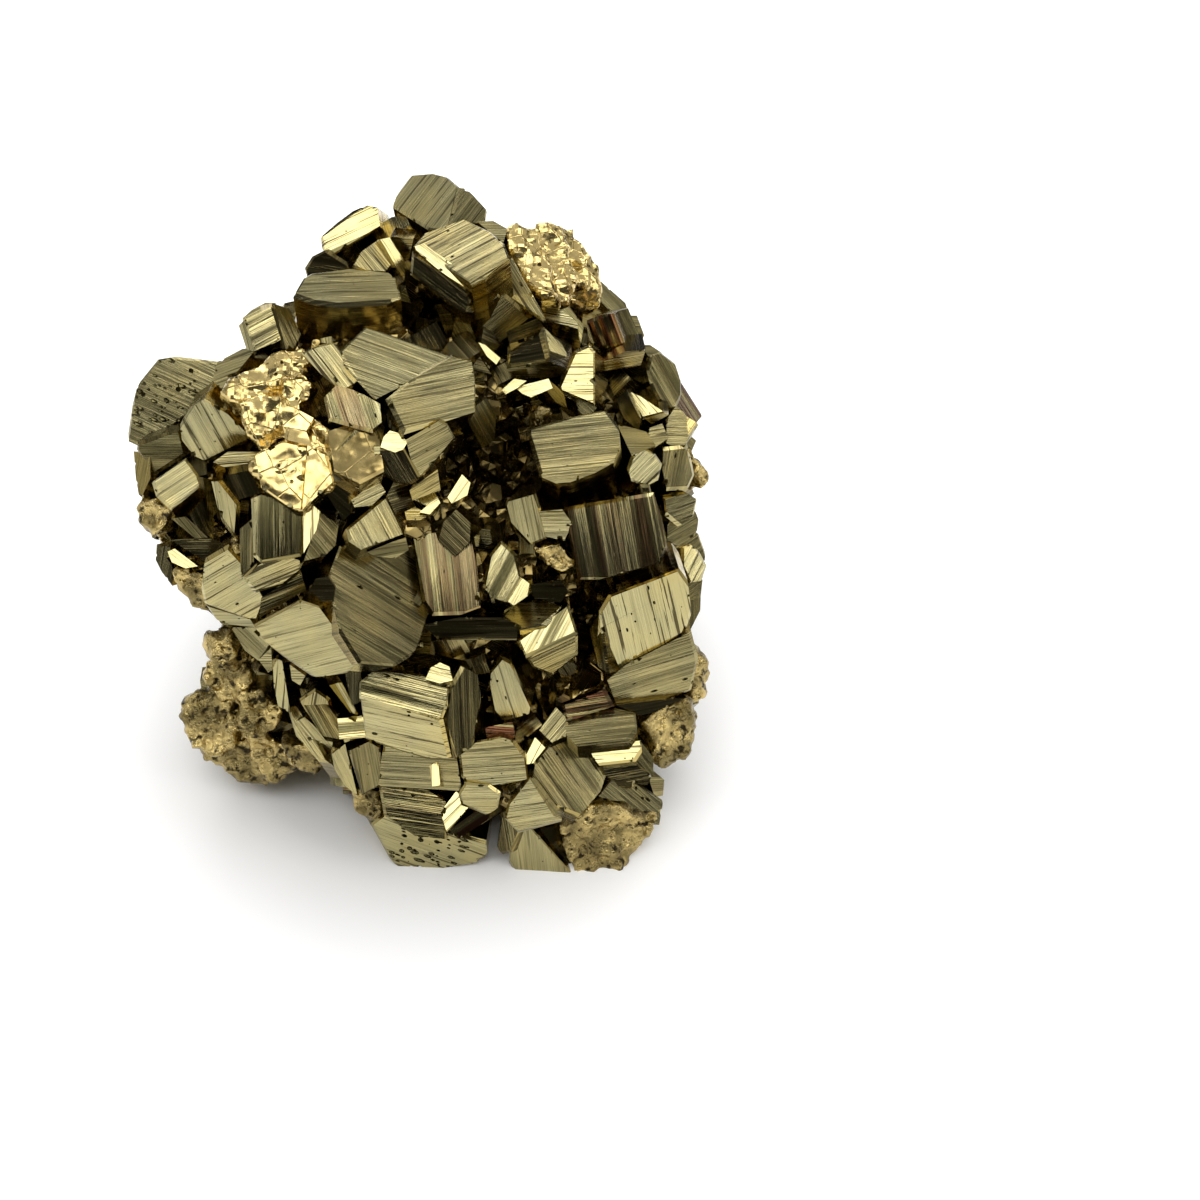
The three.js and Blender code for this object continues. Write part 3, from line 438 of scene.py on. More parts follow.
LEFT_SIDE = (
    Face(-32, 7, 0.5, -25, Tone.PLAIN,
         "128,432 132,405 140,382 157,361 175,358 190,362 217,363 "
         "215,385 195,400 178,420 160,435 145,447 130,440", skin=Skin.PITTED),
    Face(-5, 30, 0.2, 20, Tone.PALE, "218,362 243,349 253,352 240,368 222,388 213,380"),
    Face(-8, -21, 1.0, -60, Tone.PALE,
         "181,425 190,410 205,400 222,410 248,436 240,445 208,461 195,455 183,440"),
    Face(-20, -20, -0.6, 0, Tone.OLIVE, "138,443 160,435 180,430 186,455 170,462 155,475 150,460 137,450"),
    Face(-13, 19, 0.8, 33, Tone.PALE, "152,482 185,458 203,483 171,509 156,495"),
    Face(-40, 0, -0.6, 80, Tone.GOLD, "134,452 150,455 150,478 140,500 136,478"),
    Face(-35, -5, -0.6, 0, Tone.GOLD, "138,505 155,500 170,512 165,530 150,537 138,520", skin=Skin.CRUMBLY),
    Face(-5, -20, 0.1, -50, Tone.OLIVE, "172,519 186,517 207,537 195,538"),
    Face(20, -10, 0, -65, Tone.DARK, "190,515 203,500 214,520 213,538 200,530"),
    Face(-4, -22, 0.6, -80, Tone.PALE, "212,483 222,482 240,505 238,530 233,537 222,522 217,505"),
    Face(30, 0, 0.3, 90, Tone.DARK, "203,478 211,480 218,510 210,520"),
    Face(-5, -2, -1, -65, Tone.DARK, "223,467 250,463 262,492 235,500"),
    Face(-5, 23, 0.4, 5, Tone.PALE, "214,462 228,452 258,452 255,462 225,467"),
    Face(-5, 4, 1.6, 90, Tone.BANDED, "252,500 262,496 300,507 303,515 300,555 262,562 254,555"),
    Face(-40, -10, 1.0, 90, Tone.DARK, "240,530 252,520 254,570 241,578"),
    Face(17, 11, 1.2, 90, Tone.FRESH, "303,515 312,505 320,512 316,530 309,536 304,552"),
    Face(9, 17, 0.9, -50, Tone.OLIVE, "320,513 338,525 335,545 325,555 305,560 316,535"),
    Face(-5, 0, 0.3, 0, Tone.GOLD, "232,540 238,535 242,542 240,551 234,552", skin=Skin.CRUMBLY),
    Face(-14, -26, 1.4, 30, Tone.PALE,
         "206,560 228,547 240,560 240,575 262,598 255,617 245,617 205,603 202,590"),
    Face(-4, -23, 1.2, 22, Tone.PALE, "243,578 260,562 290,558 310,565 285,585 255,593"),
    Face(-10, -20, 0.8, 22, Tone.DARK, "262,598 300,572 305,590 260,617"),
    Face(-20, -30, 0.4, 80, Tone.PALE,
         "172,572 185,567 205,575 203,600 215,615 190,605 180,590", skin=Skin.CRUMBLY),
    Face(-35, -10, 0, 80, Tone.PLAIN, "157,545 170,548 172,570 172,585 162,572 156,560"),
    Face(-6, 10, 0.2, -35, Tone.FRESH, "168,552 175,549 197,566 185,568 172,562"),
    Face(-5, -15, -0.6, 0, Tone.DARK, "172,540 210,538 225,545 205,560 190,552"),
    Face(-10, -55, 1.0, 0, Tone.PALE, "205,604 248,617 255,628 235,626 215,619"),
)
GOLD_LEFT = (
    Face(-4, 11, 2.5, 30, Tone.GOLD, "256,455 286,440 310,446 303,508 288,505 262,487", skin=Skin.SMOOTH),
    Face(-2, 14, 2.6, 30, Tone.GOLD, "308,446 330,455 334,480 318,494 303,508", skin=Skin.SMOOTH),
    Face(-8, 12, 2.5, 40, Tone.GOLD, "281,404 300,411 313,418 306,430 284,426", skin=Skin.SMOOTH),
    Face(4, 22, 2.3, 20, Tone.OLIVE, "329,432 352,425 378,437 383,470 360,482 335,470", skin=Skin.SMOOTH),
    Face(-2, 16, 2.3, 60, Tone.GOLD, "290,428 306,432 312,446 288,440", skin=Skin.SMOOTH),
    Face(-5, 30, 0.9, 25, Tone.GOLD,
         "220,390 250,370 275,352 300,350 310,365 285,385 255,395 235,400", skin=Skin.HAMMERED),
    Face(-4, 13, 1.8, 0, Tone.GOLD, "283,378 300,370 315,382 308,400 290,405 280,395", skin=Skin.HAMMERED),
    Face(-8, 5, 1.5, -50, Tone.GOLD, "235,400 260,390 283,400 285,435 262,455 245,430", skin=Skin.HAMMERED),
    Face(-4, 12, 1.9, -40, Tone.FRESH,
         "252,462 270,455 300,452 330,455 335,475 "
         "325,492 308,508 295,507 270,485 255,470", skin=Skin.HAMMERED),
    Face(0, 5, 1.6, 30, Tone.GOLD, "285,405 310,410 330,430 335,455 300,452 285,440", skin=Skin.HAMMERED),
    Face(5, 10, 2.7, -72, Tone.ROSY, "325,398 337,386 358,392 379,404 381,425 372,432 350,424 330,420"),
    Face(23, 2, 1.8, -70, Tone.PLAIN,
         "350,432 371,408 385,415 384,440 378,475 350,470 335,480 330,455 345,440"),
    Face(5, -10, 0.8, -40, Tone.DARK, "325,490 345,480 368,497 350,508 343,520"),
    Face(9, 17, 1.0, 25, Tone.PALE, "352,500 378,480 385,492 372,505 355,507"),
    Face(9, 17, 1.4, -62, Tone.PALE, "347,528 380,500 387,497 404,533 390,537 372,540 362,548 350,540"),
    Face(5, -30, 1.0, 10, Tone.DARK, "368,552 405,538 408,550 395,558 375,556"),
)
MIDDLE = (
    Face(30, 10, 0.8, -32, Tone.OLIVE,
         "330,580 342,548 362,546 412,555 437,585 425,610 "
         "420,637 410,655 395,664 360,661 342,632"),
    Face(-30, -26, 4.0, 14, Tone.PALE,
         "255,626 300,602 318,608 338,645 357,661 345,672 325,675 310,676 298,668 272,648"),
    Face(-5, 25, 1.9, -20, Tone.PALE,
         "342,350 365,328 400,338 440,352 455,357 420,372 395,385 375,398 358,378 345,365"),
    Face(10, 19, 2.6, 12, Tone.PLAIN,
         "400,388 425,370 452,355 470,360 474,385 474,410 440,420 405,432 395,405 388,398"),
    Face(-11, 21, 1.6, -52, Tone.PALE, "302,352 318,345 332,342 345,355 357,378 350,388 343,392 320,372"),
    Face(11, -20, 1.8, 28, Tone.PLAIN, "407,440 440,421 447,425 455,440 440,458 420,478 412,460"),
    Face(-30, 0, 1.8, 80, Tone.DARK, "385,400 395,405 403,432 398,437 388,425"),
    Face(-3, 12, 2.0, 0, Tone.FRESH, "381,447 384,437 390,431 400,434 407,442 403,449 395,452"),
    Face(-5, -15, 1.6, -60, Tone.DARK, "376,450 395,453 405,450 420,478 412,484 395,483 378,470"),
    Face(-5, 7, 0.6, 28, Tone.BANDED, "245,321 272,307 283,330 280,340 255,350"),
    Face(28, 8, -0.8, -65, Tone.PLAIN, "273,304 290,310 303,337 296,350 284,348 281,328"),
    Face(-50, 0, 0.1, -75, Tone.PALE, "239,326 245,320 255,350 248,353"),
    Face(-5, 45, 0.4, 28, Tone.PALE, "243,318 252,310 265,303 275,303 272,307 246,321"),
    Face(-2, 11, -0.5, 55, Tone.FRESH, "448,497 462,475 470,483 467,495 452,503"),
    Face(-12, -22, -0.3, 30, Tone.GOLD, "410,490 437,470 440,490 425,495 413,500"),
    Face(-2, 11, -0.5, 30, Tone.FRESH, "420,512 437,497 440,503 430,514"),
    Face(0, 20, -0.8, 0, Tone.GOLD, "405,512 415,507 430,515 420,520 407,520"),
    Face(-8, 5, 1.3, 62, Tone.BANDED, "483,586 489,556 501,541 514,553 520,577 506,601 494,597"),
    Face(16, 9, 1.35, 62, Tone.FRESH, "507,600 520,577 529,584 527,596 514,605"),
    Face(-17, -21, 0.6, -78, Tone.PLAIN, "507,503 535,495 541,512 546,538 528,545 514,530"),
    Face(12, -21, 0.9, 0, Tone.PALE, "540,512 562,510 572,524 564,540 546,536"),
    Face(0, -20, 0.5, 0, Tone.GOLD, "533,548 560,543 572,562 566,572 546,566", skin=Skin.CRUMBLY),
    Face(-4, 4, -1.2, -84, Tone.ROSY,
         "412,540 420,532 470,528 474,545 479,606 460,613 432,614 424,602 437,585 415,556"),
    Face(0, -10, -0.2, 0, Tone.DARK, "425,625 460,618 500,618 517,625 515,640 480,640 440,640"),
    Face(-5, 35, -0.6, 0, Tone.PALE, "502,613 512,603 540,600 563,608 545,624 520,629 508,620"),
    Face(0, 7, 1.5, 62, Tone.BANDED, "519,638 545,625 567,603 577,634 551,640 527,657"),
    Face(5, -22, 2.4, 25, Tone.GOLD, "527,657 551,640 577,635 577,655 552,675 534,668"),
    Face(-7, 15, 0.6, 50, Tone.PLAIN, "540,730 556,708 570,722 566,735 552,742"),
    Face(-1, 7, 0.3, 60, Tone.FRESH, "522,765 535,738 545,748 537,762"),
    Face(-5, 0, 0.6, -4, Tone.RUSSET, "486,728 512,722 516,742 488,745"),
    Face(0, -10, -0.3, 0, Tone.DARK, "530,585 560,580 568,592 560,602 535,598"),
    Face(31, -6, -2.4, 35, Tone.PLAIN, "660,529 684,527 699,535 705,552 700,596 686,600 672,574"),
)
SEEN = (*CROWN, *GOLD_TOP, *RIGHT_TOP, *RIGHT_SIDE, *RIGHT_FOOT, *FRONT_FOOT, *LUMP, *LEFT_SIDE,
        *GOLD_LEFT, *MIDDLE)

# The edge of the whole cluster in the view, which grown crystals stay behind
EDGE = ("394,206 413,176 449,177 485,208 510,228 575,227 601,270 643,330 680,375 688,440 706,480 "
        "700,552 700,610 708,680 701,715 690,755 663,790 640,842 600,888 567,887 510,868 500,842 470,865 "
        "403,872 350,803 325,776 270,785 198,750 182,710 206,660 218,622 184,603 156,560 138,520 128,433 "
        "157,361 218,358 245,345 246,313 290,305 311,256 320,237 345,213")


def corners_of(outline: str) -> list[Corner]:
    """Read the corners of an outline in the frame.

    Args:
        outline: the corners as words of two numbers.

    Returns:
        The corners as pairs.
    """
    return [tuple(float(value) for value in word.split(",")) for word in outline.split()]


EDGE_CORNERS = np.array(corners_of(EDGE))


def behind_edge(point: Vector, radius: float) -> bool:
    """Tell whether a ball stays inside the cluster's edge as the eye sees it.

    Args:
        point: the ball's middle.
        radius: its radius.

    Returns:
        True where all of it is inside the edge.
    """
    seen = np.array(VIEW.place(point))
    start, end = EDGE_CORNERS, np.roll(EDGE_CORNERS, -1, axis=0)
    side = end - start
    straddles = (start[:, 1] > seen[1]) != (end[:, 1] > seen[1])
    rise = np.where(side[:, 1] == 0.0, TINY, side[:, 1])
    crossing = start[:, 0] + side[:, 0] * (seen[1] - start[:, 1]) / rise
    inside = np.count_nonzero(straddles & (seen[0] < crossing)) % 2 == 1
    along = np.clip(((seen - start) * side).sum(axis=1) / (side * side).sum(axis=1), 0.0, 1.0)
    clearance = np.linalg.norm(start + side * along[:, None] - seen, axis=1).min()
    reach = VIEW.focal * radius / (point - VIEW.eye).dot(VIEW.sight)
    return bool(inside and clearance > reach)


def select_none() -> None:
    """Deselect every object."""
    bpy.ops.object.select_all(action="DESELECT")


def pick(piece: bpy.types.Object) -> None:
    """Make one object the only selected and the active one.

    Args:
        piece: the object.
    """
    select_none()
    piece.select_set(True)
    bpy.context.view_layer.objects.active = piece


def add_primitive(shape: str, **settings: object) -> bpy.types.Object:
    """Add a primitive mesh, with nothing else selected.

    Args:
        shape: which one, such as "cube" or "plane".
        settings: its size and place.

    Returns:
        Its object.
    """
    select_none()
    getattr(bpy.ops.mesh, f"primitive_{shape}_add")(**settings)
    return bpy.context.object


def copy_piece(template: bpy.types.Object, place: Matrix) -> bpy.types.Object:
    """Copy a piece, with its own mesh, to a place.

    Args:
        template: the piece that is copied.
        place: where the copy goes, and its turn and size.

    Returns:
        The copy.
    """
    piece = template.copy()
    piece.data = template.data.copy()
    bpy.context.scene.collection.objects.link(piece)
    piece.data.transform(place)
    return piece


def pattern_map(piece: bpy.types.Object) -> bpy.types.MeshUVLoopLayer:
    """Give the map that a piece's pattern lies on, which it gets if it has none."""
    layers = piece.data.uv_layers
    return layers.get("UVMap") or layers.new(name="UVMap")


def apply_modifier(piece: bpy.types.Object, kind: str, **settings: object) -> None:
    """Add a modifier to a piece and apply it.

    Args:
        piece: the piece.
        kind: the modifier's type.
        settings: the modifier's properties.
    """
    pick(piece)
    modifier = piece.modifiers.new(kind.lower(), kind)
    for name, value in settings.items():
        setattr(modifier, name, value)
    bpy.ops.object.modifier_apply(modifier=modifier.name)


def join_pieces(pieces: list[bpy.types.Object], name: str) -> bpy.types.Object:
    """Unite overlapping closed pieces in one closed mesh.

    Args:
        pieces: the pieces, which are used up.
        name: the name of the result.

    Returns:
        The united piece.
    """
    base, *others = pieces
    base.name = name
    group = bpy.data.collections.new(f"{name}_parts")
    bpy.context.scene.collection.children.link(group)
    for other in others:
        for holder in list(other.users_collection):
            holder.objects.unlink(other)
        group.objects.link(other)
    apply_modifier(base, "BOOLEAN", operation="UNION", solver="MANIFOLD",
                   operand_type="COLLECTION", collection=group)
    for other in list(group.objects):
        remove_piece(other)
    bpy.data.collections.remove(group)
    return base


def remove_piece(piece: bpy.types.Object) -> None:
    """Delete an object and its mesh.

    Args:
        piece: the object.
    """
    mesh = piece.data
    bpy.data.objects.remove(piece)
    bpy.data.meshes.remove(mesh)


def cut_away(piece: bpy.types.Object, cutters: list[bpy.types.Object]) -> None:
    """Cut closed pieces out of another one.

    Args:
        piece: what is cut.
        cutters: the pieces that are taken away, which are used up.
    """
    cutter = join_pieces(cutters, "cutter")
    apply_modifier(piece, "BOOLEAN", operation="DIFFERENCE", solver="MANIFOLD", object=cutter)
    remove_piece(cutter)


def plane_axes(facing: Vector) -> tuple[Vector, Vector]:
    """Give two level axes of a plane.

    Args:
        facing: the plane's unit normal.

    Returns:
        Two unit vectors in the plane.
    """
    across = UP.cross(facing)
    if across.length_squared < 1e-6:
        across = RIGHT.copy()
    across.normalize()
    return across, facing.cross(across)


FINISHES: dict[Finish, bpy.types.Material] = {}
POLISHED = (Tone.FRESH, Tone.BANDED, Tone.DARK, Tone.RUSSET, Tone.ROSY, Tone.STREAKED)
# How much the brightness of crystals of one tone differs, and the seed that leaves it as it is
TONE_SPREAD = 0.16
EVEN_SEED = 0.5


def mark_faces(piece: bpy.types.Object, tone: Tone, seed: float, finish: Finish) -> None:
    """Store a piece's tone and seed on its faces and give them their material slot.

    Args:
        piece: the piece.
        tone: its tone, whose brightness is partly painted reflected light.
        seed: a number from 0 to 1 of its own.
        finish: the material slot.
    """
    mesh = piece.data
    bright, warm, red, bands = tone.value
    # The tone's brightness, partly painted reflected light, varies a little at random by crystal
    shade = min(1.0, max(0.0, bright + TONE_SPREAD * (seed - EVEN_SEED)))
    polish = 1.0 if tone in POLISHED else 0.0
    values = {"bright": shade, "warm": warm, "red": red, "bands": bands, "polish": polish, "seed": seed}
    for name, value in values.items():
        layer = mesh.attributes.get(name) or mesh.attributes.new(name, "FLOAT", "FACE")
        layer.data.foreach_set("value", np.full(len(mesh.polygons), value, dtype=np.float32))
    for slot in FINISHES.values():
        if slot.name not in mesh.materials:
            mesh.materials.append(slot)
    mesh.polygons.foreach_set("material_index", np.full(len(mesh.polygons), finish.value, dtype=np.int32))
    mesh.update()


@dataclass
class Crystal:
    """One crystal: a block cut to its outline, with striations across its face.

    All is in millimetres. The outline's corners lie on the face's plane, and the body goes
    inward from it. A crystal's edges are worn, and its face striated, from a given size on.
    """

    outline: list[Vector]
    facing: Vector
    inward: Vector
    along: Vector
    deep: float
    seed: int
    tone: Tone
    skin: Skin = Skin.FACETED
    overlap: float = 1.04
    stock: float = 2.5
    worn_size: float = 2.0
    bevel: float = 0.19
    least_bevel: float = 0.06
    striated_size: float = 1.2
    groove: float = 0.09
    least_groove: float = 0.004
    ribs: float = 0.026
    spacing: float = 0.34
    spacing_share: tuple[float, float] = (0.3, 1.7)
    edge_strip: float = 0.08
    step: float = 0.012
    on_line: float = 0.002
    on_plane: float = 0.9999
    map_size: float = 90.0
    gilding: float = 0.5
    wall_painted_light: float = 0.25
    wall_slant: float = 0.7

    def __post_init__(self) -> None:
        """Put the corners in order, grow the outline and find its middle."""
        self.across = self.along.cross(self.facing).normalized()
        middle = sum(self.outline, Vector()) / len(self.outline)
        self.middle = middle
        flat = sorted({(round((p - middle).dot(self.across), 4), round((p - middle).dot(self.along), 4))
                       for p in self.outline})
        hull = self.half_hull(flat) + self.half_hull(flat[::-1])
        centre = np.mean(hull, axis=0)
        grown = [centre + (np.array(p) - centre) * self.overlap for p in hull]
        self.corners = [middle + self.across * p[0] + self.along * p[1] for p in grown]
        self.size = math.sqrt(abs(sum(p[0] * q[1] - q[0] * p[1]
                                      for p, q in zip(grown, grown[1:] + grown[:1]))) / 2.0)

    @property
    def has_faces(self) -> bool:
        """Whether it is a clean crystal and not granular."""
        return self.skin in (Skin.FACETED, Skin.PITTED, Skin.SMOOTH)

    @staticmethod
    def half_hull(points: list[Corner]) -> list[Corner]:
        """Walk one half of the convex outline of sorted points.

        Args:
            points: the points in order along the first axis.

        Returns:
            The half's corners without the last one.
        """
        chain: list[Corner] = []
        for p in points:
            while len(chain) > 1 and ((chain[-1][0] - chain[-2][0]) * (p[1] - chain[-2][1])
                                      <= (chain[-1][1] - chain[-2][1]) * (p[0] - chain[-2][0])):
                chain.pop()
            chain.append(p)
        return chain[:-1]

    def block(self) -> bpy.types.Object:
        """Add the block that the crystal is cut from.

        Returns:
            Its object.
        """
        reach = max((p - self.middle).length for p in self.corners) + self.deep
        turn = Matrix((self.across, self.along, -self.facing)).transposed()
        if turn.determinant() < 0.0:
            turn = Matrix((-self.across, self.along, -self.facing)).transposed()
        piece = add_primitive(
            "cube", size=1.0, location=self.middle - self.facing * self.deep / 2.0,
            rotation=turn.to_euler(), scale=(self.stock * reach, self.stock * reach, self.deep))
        bpy.ops.object.transform_apply(location=True, rotation=True, scale=True)
        return piece

    def trim(self) -> None:
        """Cut the walls and, where the edge is worn, a small bevel."""
        count = len(self.corners)
        turned = (self.corners[1] - self.corners[0]).cross(self.corners[2] - self.corners[1])
        ways = 1.0 if turned.dot(self.facing) > 0.0 else -1.0
        for i, corner in enumerate(self.corners):
            side = self.corners[(i + 1) % count] - corner
            wall = (side.cross(-self.inward) * -ways).normalized()
            if wall.dot(corner + side / 2.0 - self.middle) < 0.0:
                wall = -wall
            bpy.ops.mesh.select_all(action="SELECT")
            bpy.ops.mesh.bisect(plane_co=corner, plane_no=wall, use_fill=True, clear_outer=True)
            width = self.bevel * scatter(self.seed, 40 + i)
            if width > self.least_bevel and self.size > self.worn_size:
                slope = (wall + self.facing).normalized()
                bpy.ops.mesh.select_all(action="SELECT")
                bpy.ops.mesh.bisect(plane_co=corner - slope * width, plane_no=slope,
                                    use_fill=True, clear_outer=True)

    def strips(self) -> list[tuple[float, float, float]]:
        """Choose the strips of the face: where each starts, and how deep its two edges lie.

        Returns:
            For each strip, the distance across the face from its middle and the two depths.
        """
        places = [(p - self.middle).dot(self.across) for p in self.corners]
        low, high = min(places), max(places)
        place, chosen, step = low, [], 0
        while True:
            step += 1
            share = scatter(self.seed + step * 0.37, 3) ** 2
            place += self.spacing * (self.spacing_share[0] + self.spacing_share[1] * share)
            if place > high - self.edge_strip:
                return chosen
            level = self.groove * scatter(self.seed + step * 0.61, 5) ** 3
            slope = self.ribs * (scatter(self.seed + step * 0.83, 6) - 0.5)
            chosen.append((place, max(0.0, level + slope), max(0.0, level - slope)))

    def striate(self, piece: bpy.types.Object) -> None:
        """Cut the strips into the face, each a little deeper or shallower than the next.

        Args:
            piece: the crystal, in edit mode.
        """
        strips = self.strips()
        edges = []
        for (start, first, _), (_, _, before) in zip(strips, [(0.0, 0.0, 0.0), *strips]):
            edges += [(start - self.step, before), (start + self.step, first)]
        mesh = bmesh.from_edit_mesh(piece.data)
        for place, _ in edges:
            for face in mesh.faces:
                face.select_set(face.normal.dot(self.facing) > self.on_plane)
            mesh.select_flush_mode()
            bpy.ops.mesh.bisect(plane_co=self.middle + self.across * place, plane_no=self.across)
            mesh = bmesh.from_edit_mesh(piece.data)
        for place, depth in edges:
            if depth < self.least_groove:
                continue
            bpy.ops.mesh.select_all(action="DESELECT")
            for vertex in mesh.verts:
                offset = vertex.co - self.middle
                beside = max(abs(offset.dot(self.across) - place), abs(offset.dot(self.facing)))
                vertex.select_set(beside < self.on_line)
            bpy.ops.transform.translate(value=self.inward * depth)

    def spread_grain(self, piece: bpy.types.Object) -> None:
        """Lay the piece's pattern along its striations, in millimetres.

        Args:
            piece: the crystal.
        """
        mesh, layer = piece.data, pattern_map(piece)
        shift = Vector((scatter(self.seed, 61) * self.map_size, scatter(self.seed, 62) * self.map_size))
        for polygon in mesh.polygons:
            if polygon.normal.dot(self.facing) > self.wall_slant:
                axes = (self.across, self.along)
            else:
                side = polygon.normal.cross(self.inward).normalized()
                axes = (self.inward, side) if self.seed % 3 else (side, self.inward)
            for corner in polygon.loop_indices:
                offset = mesh.vertices[mesh.loops[corner].vertex_index].co - self.middle
                layer.data[corner].uv = Vector((offset.dot(axes[0]), offset.dot(axes[1]))) + shift

    def build(self) -> bpy.types.Object:
        """Model the crystal.

        Returns:
            Its object.
        """
        piece = self.block()
        bpy.ops.object.mode_set(mode="EDIT")
        self.trim()
        if self.size > self.striated_size and self.skin in (Skin.FACETED, Skin.PITTED):
            self.striate(piece)
        bpy.ops.object.mode_set(mode="OBJECT")
        self.spread_grain(piece)
        finish = Finish.HAMMERED if self.skin is Skin.SMOOTH else Finish.CRYSTAL
        mark_faces(piece, self.tone, scatter(self.seed, 71), finish)
        self.gild_and_light_walls(piece)
        return piece

    def gild_and_light_walls(self, piece: bpy.types.Object) -> None:
        """Make the walls more golden and glossier than the face, and brighter with painted reflected light.

        Args:
            piece: the crystal.
        """
        layers = piece.data.attributes
        for polygon in piece.data.polygons:
            if polygon.normal.dot(self.facing) < self.wall_slant:
                layers["warm"].data[polygon.index].value += self.gilding
                # Painted reflected light: the walls are made brighter
                layers["bright"].data[polygon.index].value += self.wall_painted_light
                layers["polish"].data[polygon.index].value = 1.0


@dataclass
class SeenCrystals:
    """The crystals that show from the front, each cut to its outline in the view.

    A crystal whose face is tilted up less than steep goes back partly along the line of sight.
    """

    cubeness: float = 0.66
    root: float = 1.8
    squareness: float = 0.75
    steep: float = 15.0
    strong_ribs: float = 0.15
    wide_spacing: float = 0.45

    def crystal(self, number: int, face: Face) -> Crystal:
        """Place one crystal.

        Args:
            number: its number, which seeds its details.
            face: its face as seen.

        Returns:
            The crystal.
        """
        corners = corners_of(face.outline)
        x, y = np.mean(corners, axis=0)
        line = VIEW.ray(x, y)
        origin = VIEW.eye + line * (reach_lobes(line) - face.out)
        sideways = line.cross(VIEW.rise).normalized()
        facing = Quaternion(sideways, -math.radians(face.tilt)) @ (
            Quaternion(VIEW.rise, math.radians(face.turn)) @ -line)

        def on_plane(u: float, v: float) -> Vector:
            """Give the point of the face's plane that shows at a place in the frame."""
            ray = VIEW.ray(u, v)
            return VIEW.eye + ray * ((origin - VIEW.eye).dot(facing) / ray.dot(facing))

        outline = [on_plane(*corner) for corner in corners]
        slant = math.radians(face.grain)
        along = (on_plane(x + math.cos(slant), y - math.sin(slant)) - origin).normalized()
        square = 1.0 if face.tilt >= self.steep else self.squareness
        inward = (line * (1.0 - square) - facing * square).normalized()
        crystal = Crystal(outline, facing, inward, along, 1.0, number, face.tone, face.skin)
        if face.tone in POLISHED or face.skin is Skin.PITTED:
            crystal.ribs, crystal.spacing = self.strong_ribs, self.wide_spacing
        crystal.deep = max(self.cubeness * crystal.size, face.out + SINK + self.root)
        return crystal

    def place(self) -> list[Crystal]:
        """Place them all.

        Returns:
            The crystals.
        """
        return [self.crystal(number, face) for number, face in enumerate(SEEN)]


@dataclass(frozen=True)
class Habit:
    """How large crystals grow: least and greatest half width, depth, and how far they are sunk."""

    small: float
    large: float
    deep: float
    below: float


@dataclass
class GrownCrystals:
    """Crystals of the sides and the back, placed evenly over the lobes."""

    count: int = 92
    first_seed: int = 300
    side_edge: float = -0.35
    back_edge: float = 0.12
    back: Habit = Habit(2.3, 4.8, 4.0, 0.1)
    side: Habit = Habit(1.8, 3.4, 3.0, 0.9)
    overlap: float = 1.02
    lean: float = 1.1
    height_share: Pair = (0.6, 0.4)
    corner_cut: Pair = (0.25, 0.35)
    sunk_share: float = 0.3
    edge_room: float = 0.8
    inward_step: float = 0.5
    most_steps: int = 8
    tones: tuple[Tone, ...] = (Tone.PLAIN, Tone.PALE, Tone.OLIVE, Tone.PALE, Tone.PLAIN, Tone.RUSSET)

    def direction(self, index: int) -> Vector:
        """Give one of the directions spread evenly over a ball.

        Args:
            index: which one.

        Returns:
            The unit direction.
        """
        height = 1.0 - 2.0 * (index + 0.5) / self.count
        radius = math.sqrt(1.0 - height * height)
        angle = index * math.pi * (3.0 - math.sqrt(5.0))
        return Vector((radius * math.cos(angle), radius * math.sin(angle), height))

    def crystal(self, index: int, habit: Habit, direction: Vector) -> Crystal:
        """Place one crystal.

        Args:
            index: its number, which seeds its shape.
            habit: how large it grows.
            direction: where it stands, from the middle of the lobes.

        Returns:
            The crystal.
        """
        point, outward = surface_point(direction)
        lean = Vector([(scatter(index, salt) - 0.5) * self.lean for salt in (1, 2, 3)])
        facing = (outward + lean).normalized()
        size = habit.small + (habit.large - habit.small) * scatter(index, 4) ** 2
        half = (size, size * (self.height_share[0] + self.height_share[1] * scatter(index, 5)))
        cut = self.corner_cut[0] + self.corner_cut[1] * scatter(index, 6)
        spin = scatter(index, 7) * math.pi
        flat: list[Corner] = []
        for k, (x, y) in enumerate(((1, 1), (-1, 1), (-1, -1), (1, -1))):
            trim = cut * (0.5 + scatter(index, 8 + k))
            flat += [(x, y * (1 - trim)), (x * (1 - trim), y)] if k % 2 == 0 else [(x, y)]
        across, over = plane_axes(facing)
        origin = point - outward * (habit.below + self.sunk_share * size * scatter(index, 13))
        for _ in range(self.most_steps):
            if behind_edge(origin, size * self.edge_room):
                break
            origin -= outward * self.inward_step
        along = across * math.cos(spin) + over * math.sin(spin)
        beside = over * math.cos(spin) - across * math.sin(spin)
        outline = [origin + along * (x * half[0]) + beside * (y * half[1]) for x, y in flat]
        return Crystal(outline, facing, -facing, along, habit.deep, self.first_seed + index,
                       self.tones[index % len(self.tones)], overlap=self.overlap)

    def place(self) -> list[Crystal]:
        """Place them all.

        Returns:
            The crystals.
        """
        crystals = []
        for index in range(self.count):
            direction = self.direction(index)
            away = surface_point(direction)[1].dot(VIEW.sight)
            if away > self.side_edge:
                habit = self.back if away > self.back_edge else self.side
                crystals.append(self.crystal(index, habit, direction))
        return crystals


@dataclass(frozen=True)
class Hollow:
    """A dark hollow between the crystals, along a line of sight."""

    name: str
    at: Corner
    radius: float
    depth: float
    nearness: float = 1.7

    def middle(self) -> Vector:
        """Give the point of the lobes' surface that it is centred on."""
        line = VIEW.ray(*self.at)
        return VIEW.eye + line * reach_lobes(line)

    def holds(self, point: Vector) -> bool:
        """Tell whether a point lies in the hollow or close to its wall.

        Args:
            point: the point.

        Returns:
            True where it does.
        """
        line = VIEW.ray(*self.at)
        offset = point - self.middle()
        along = offset.dot(line)
        beside = (offset - line * along).length
        return (along / self.depth) ** 2 + (beside / self.radius) ** 2 < self.nearness


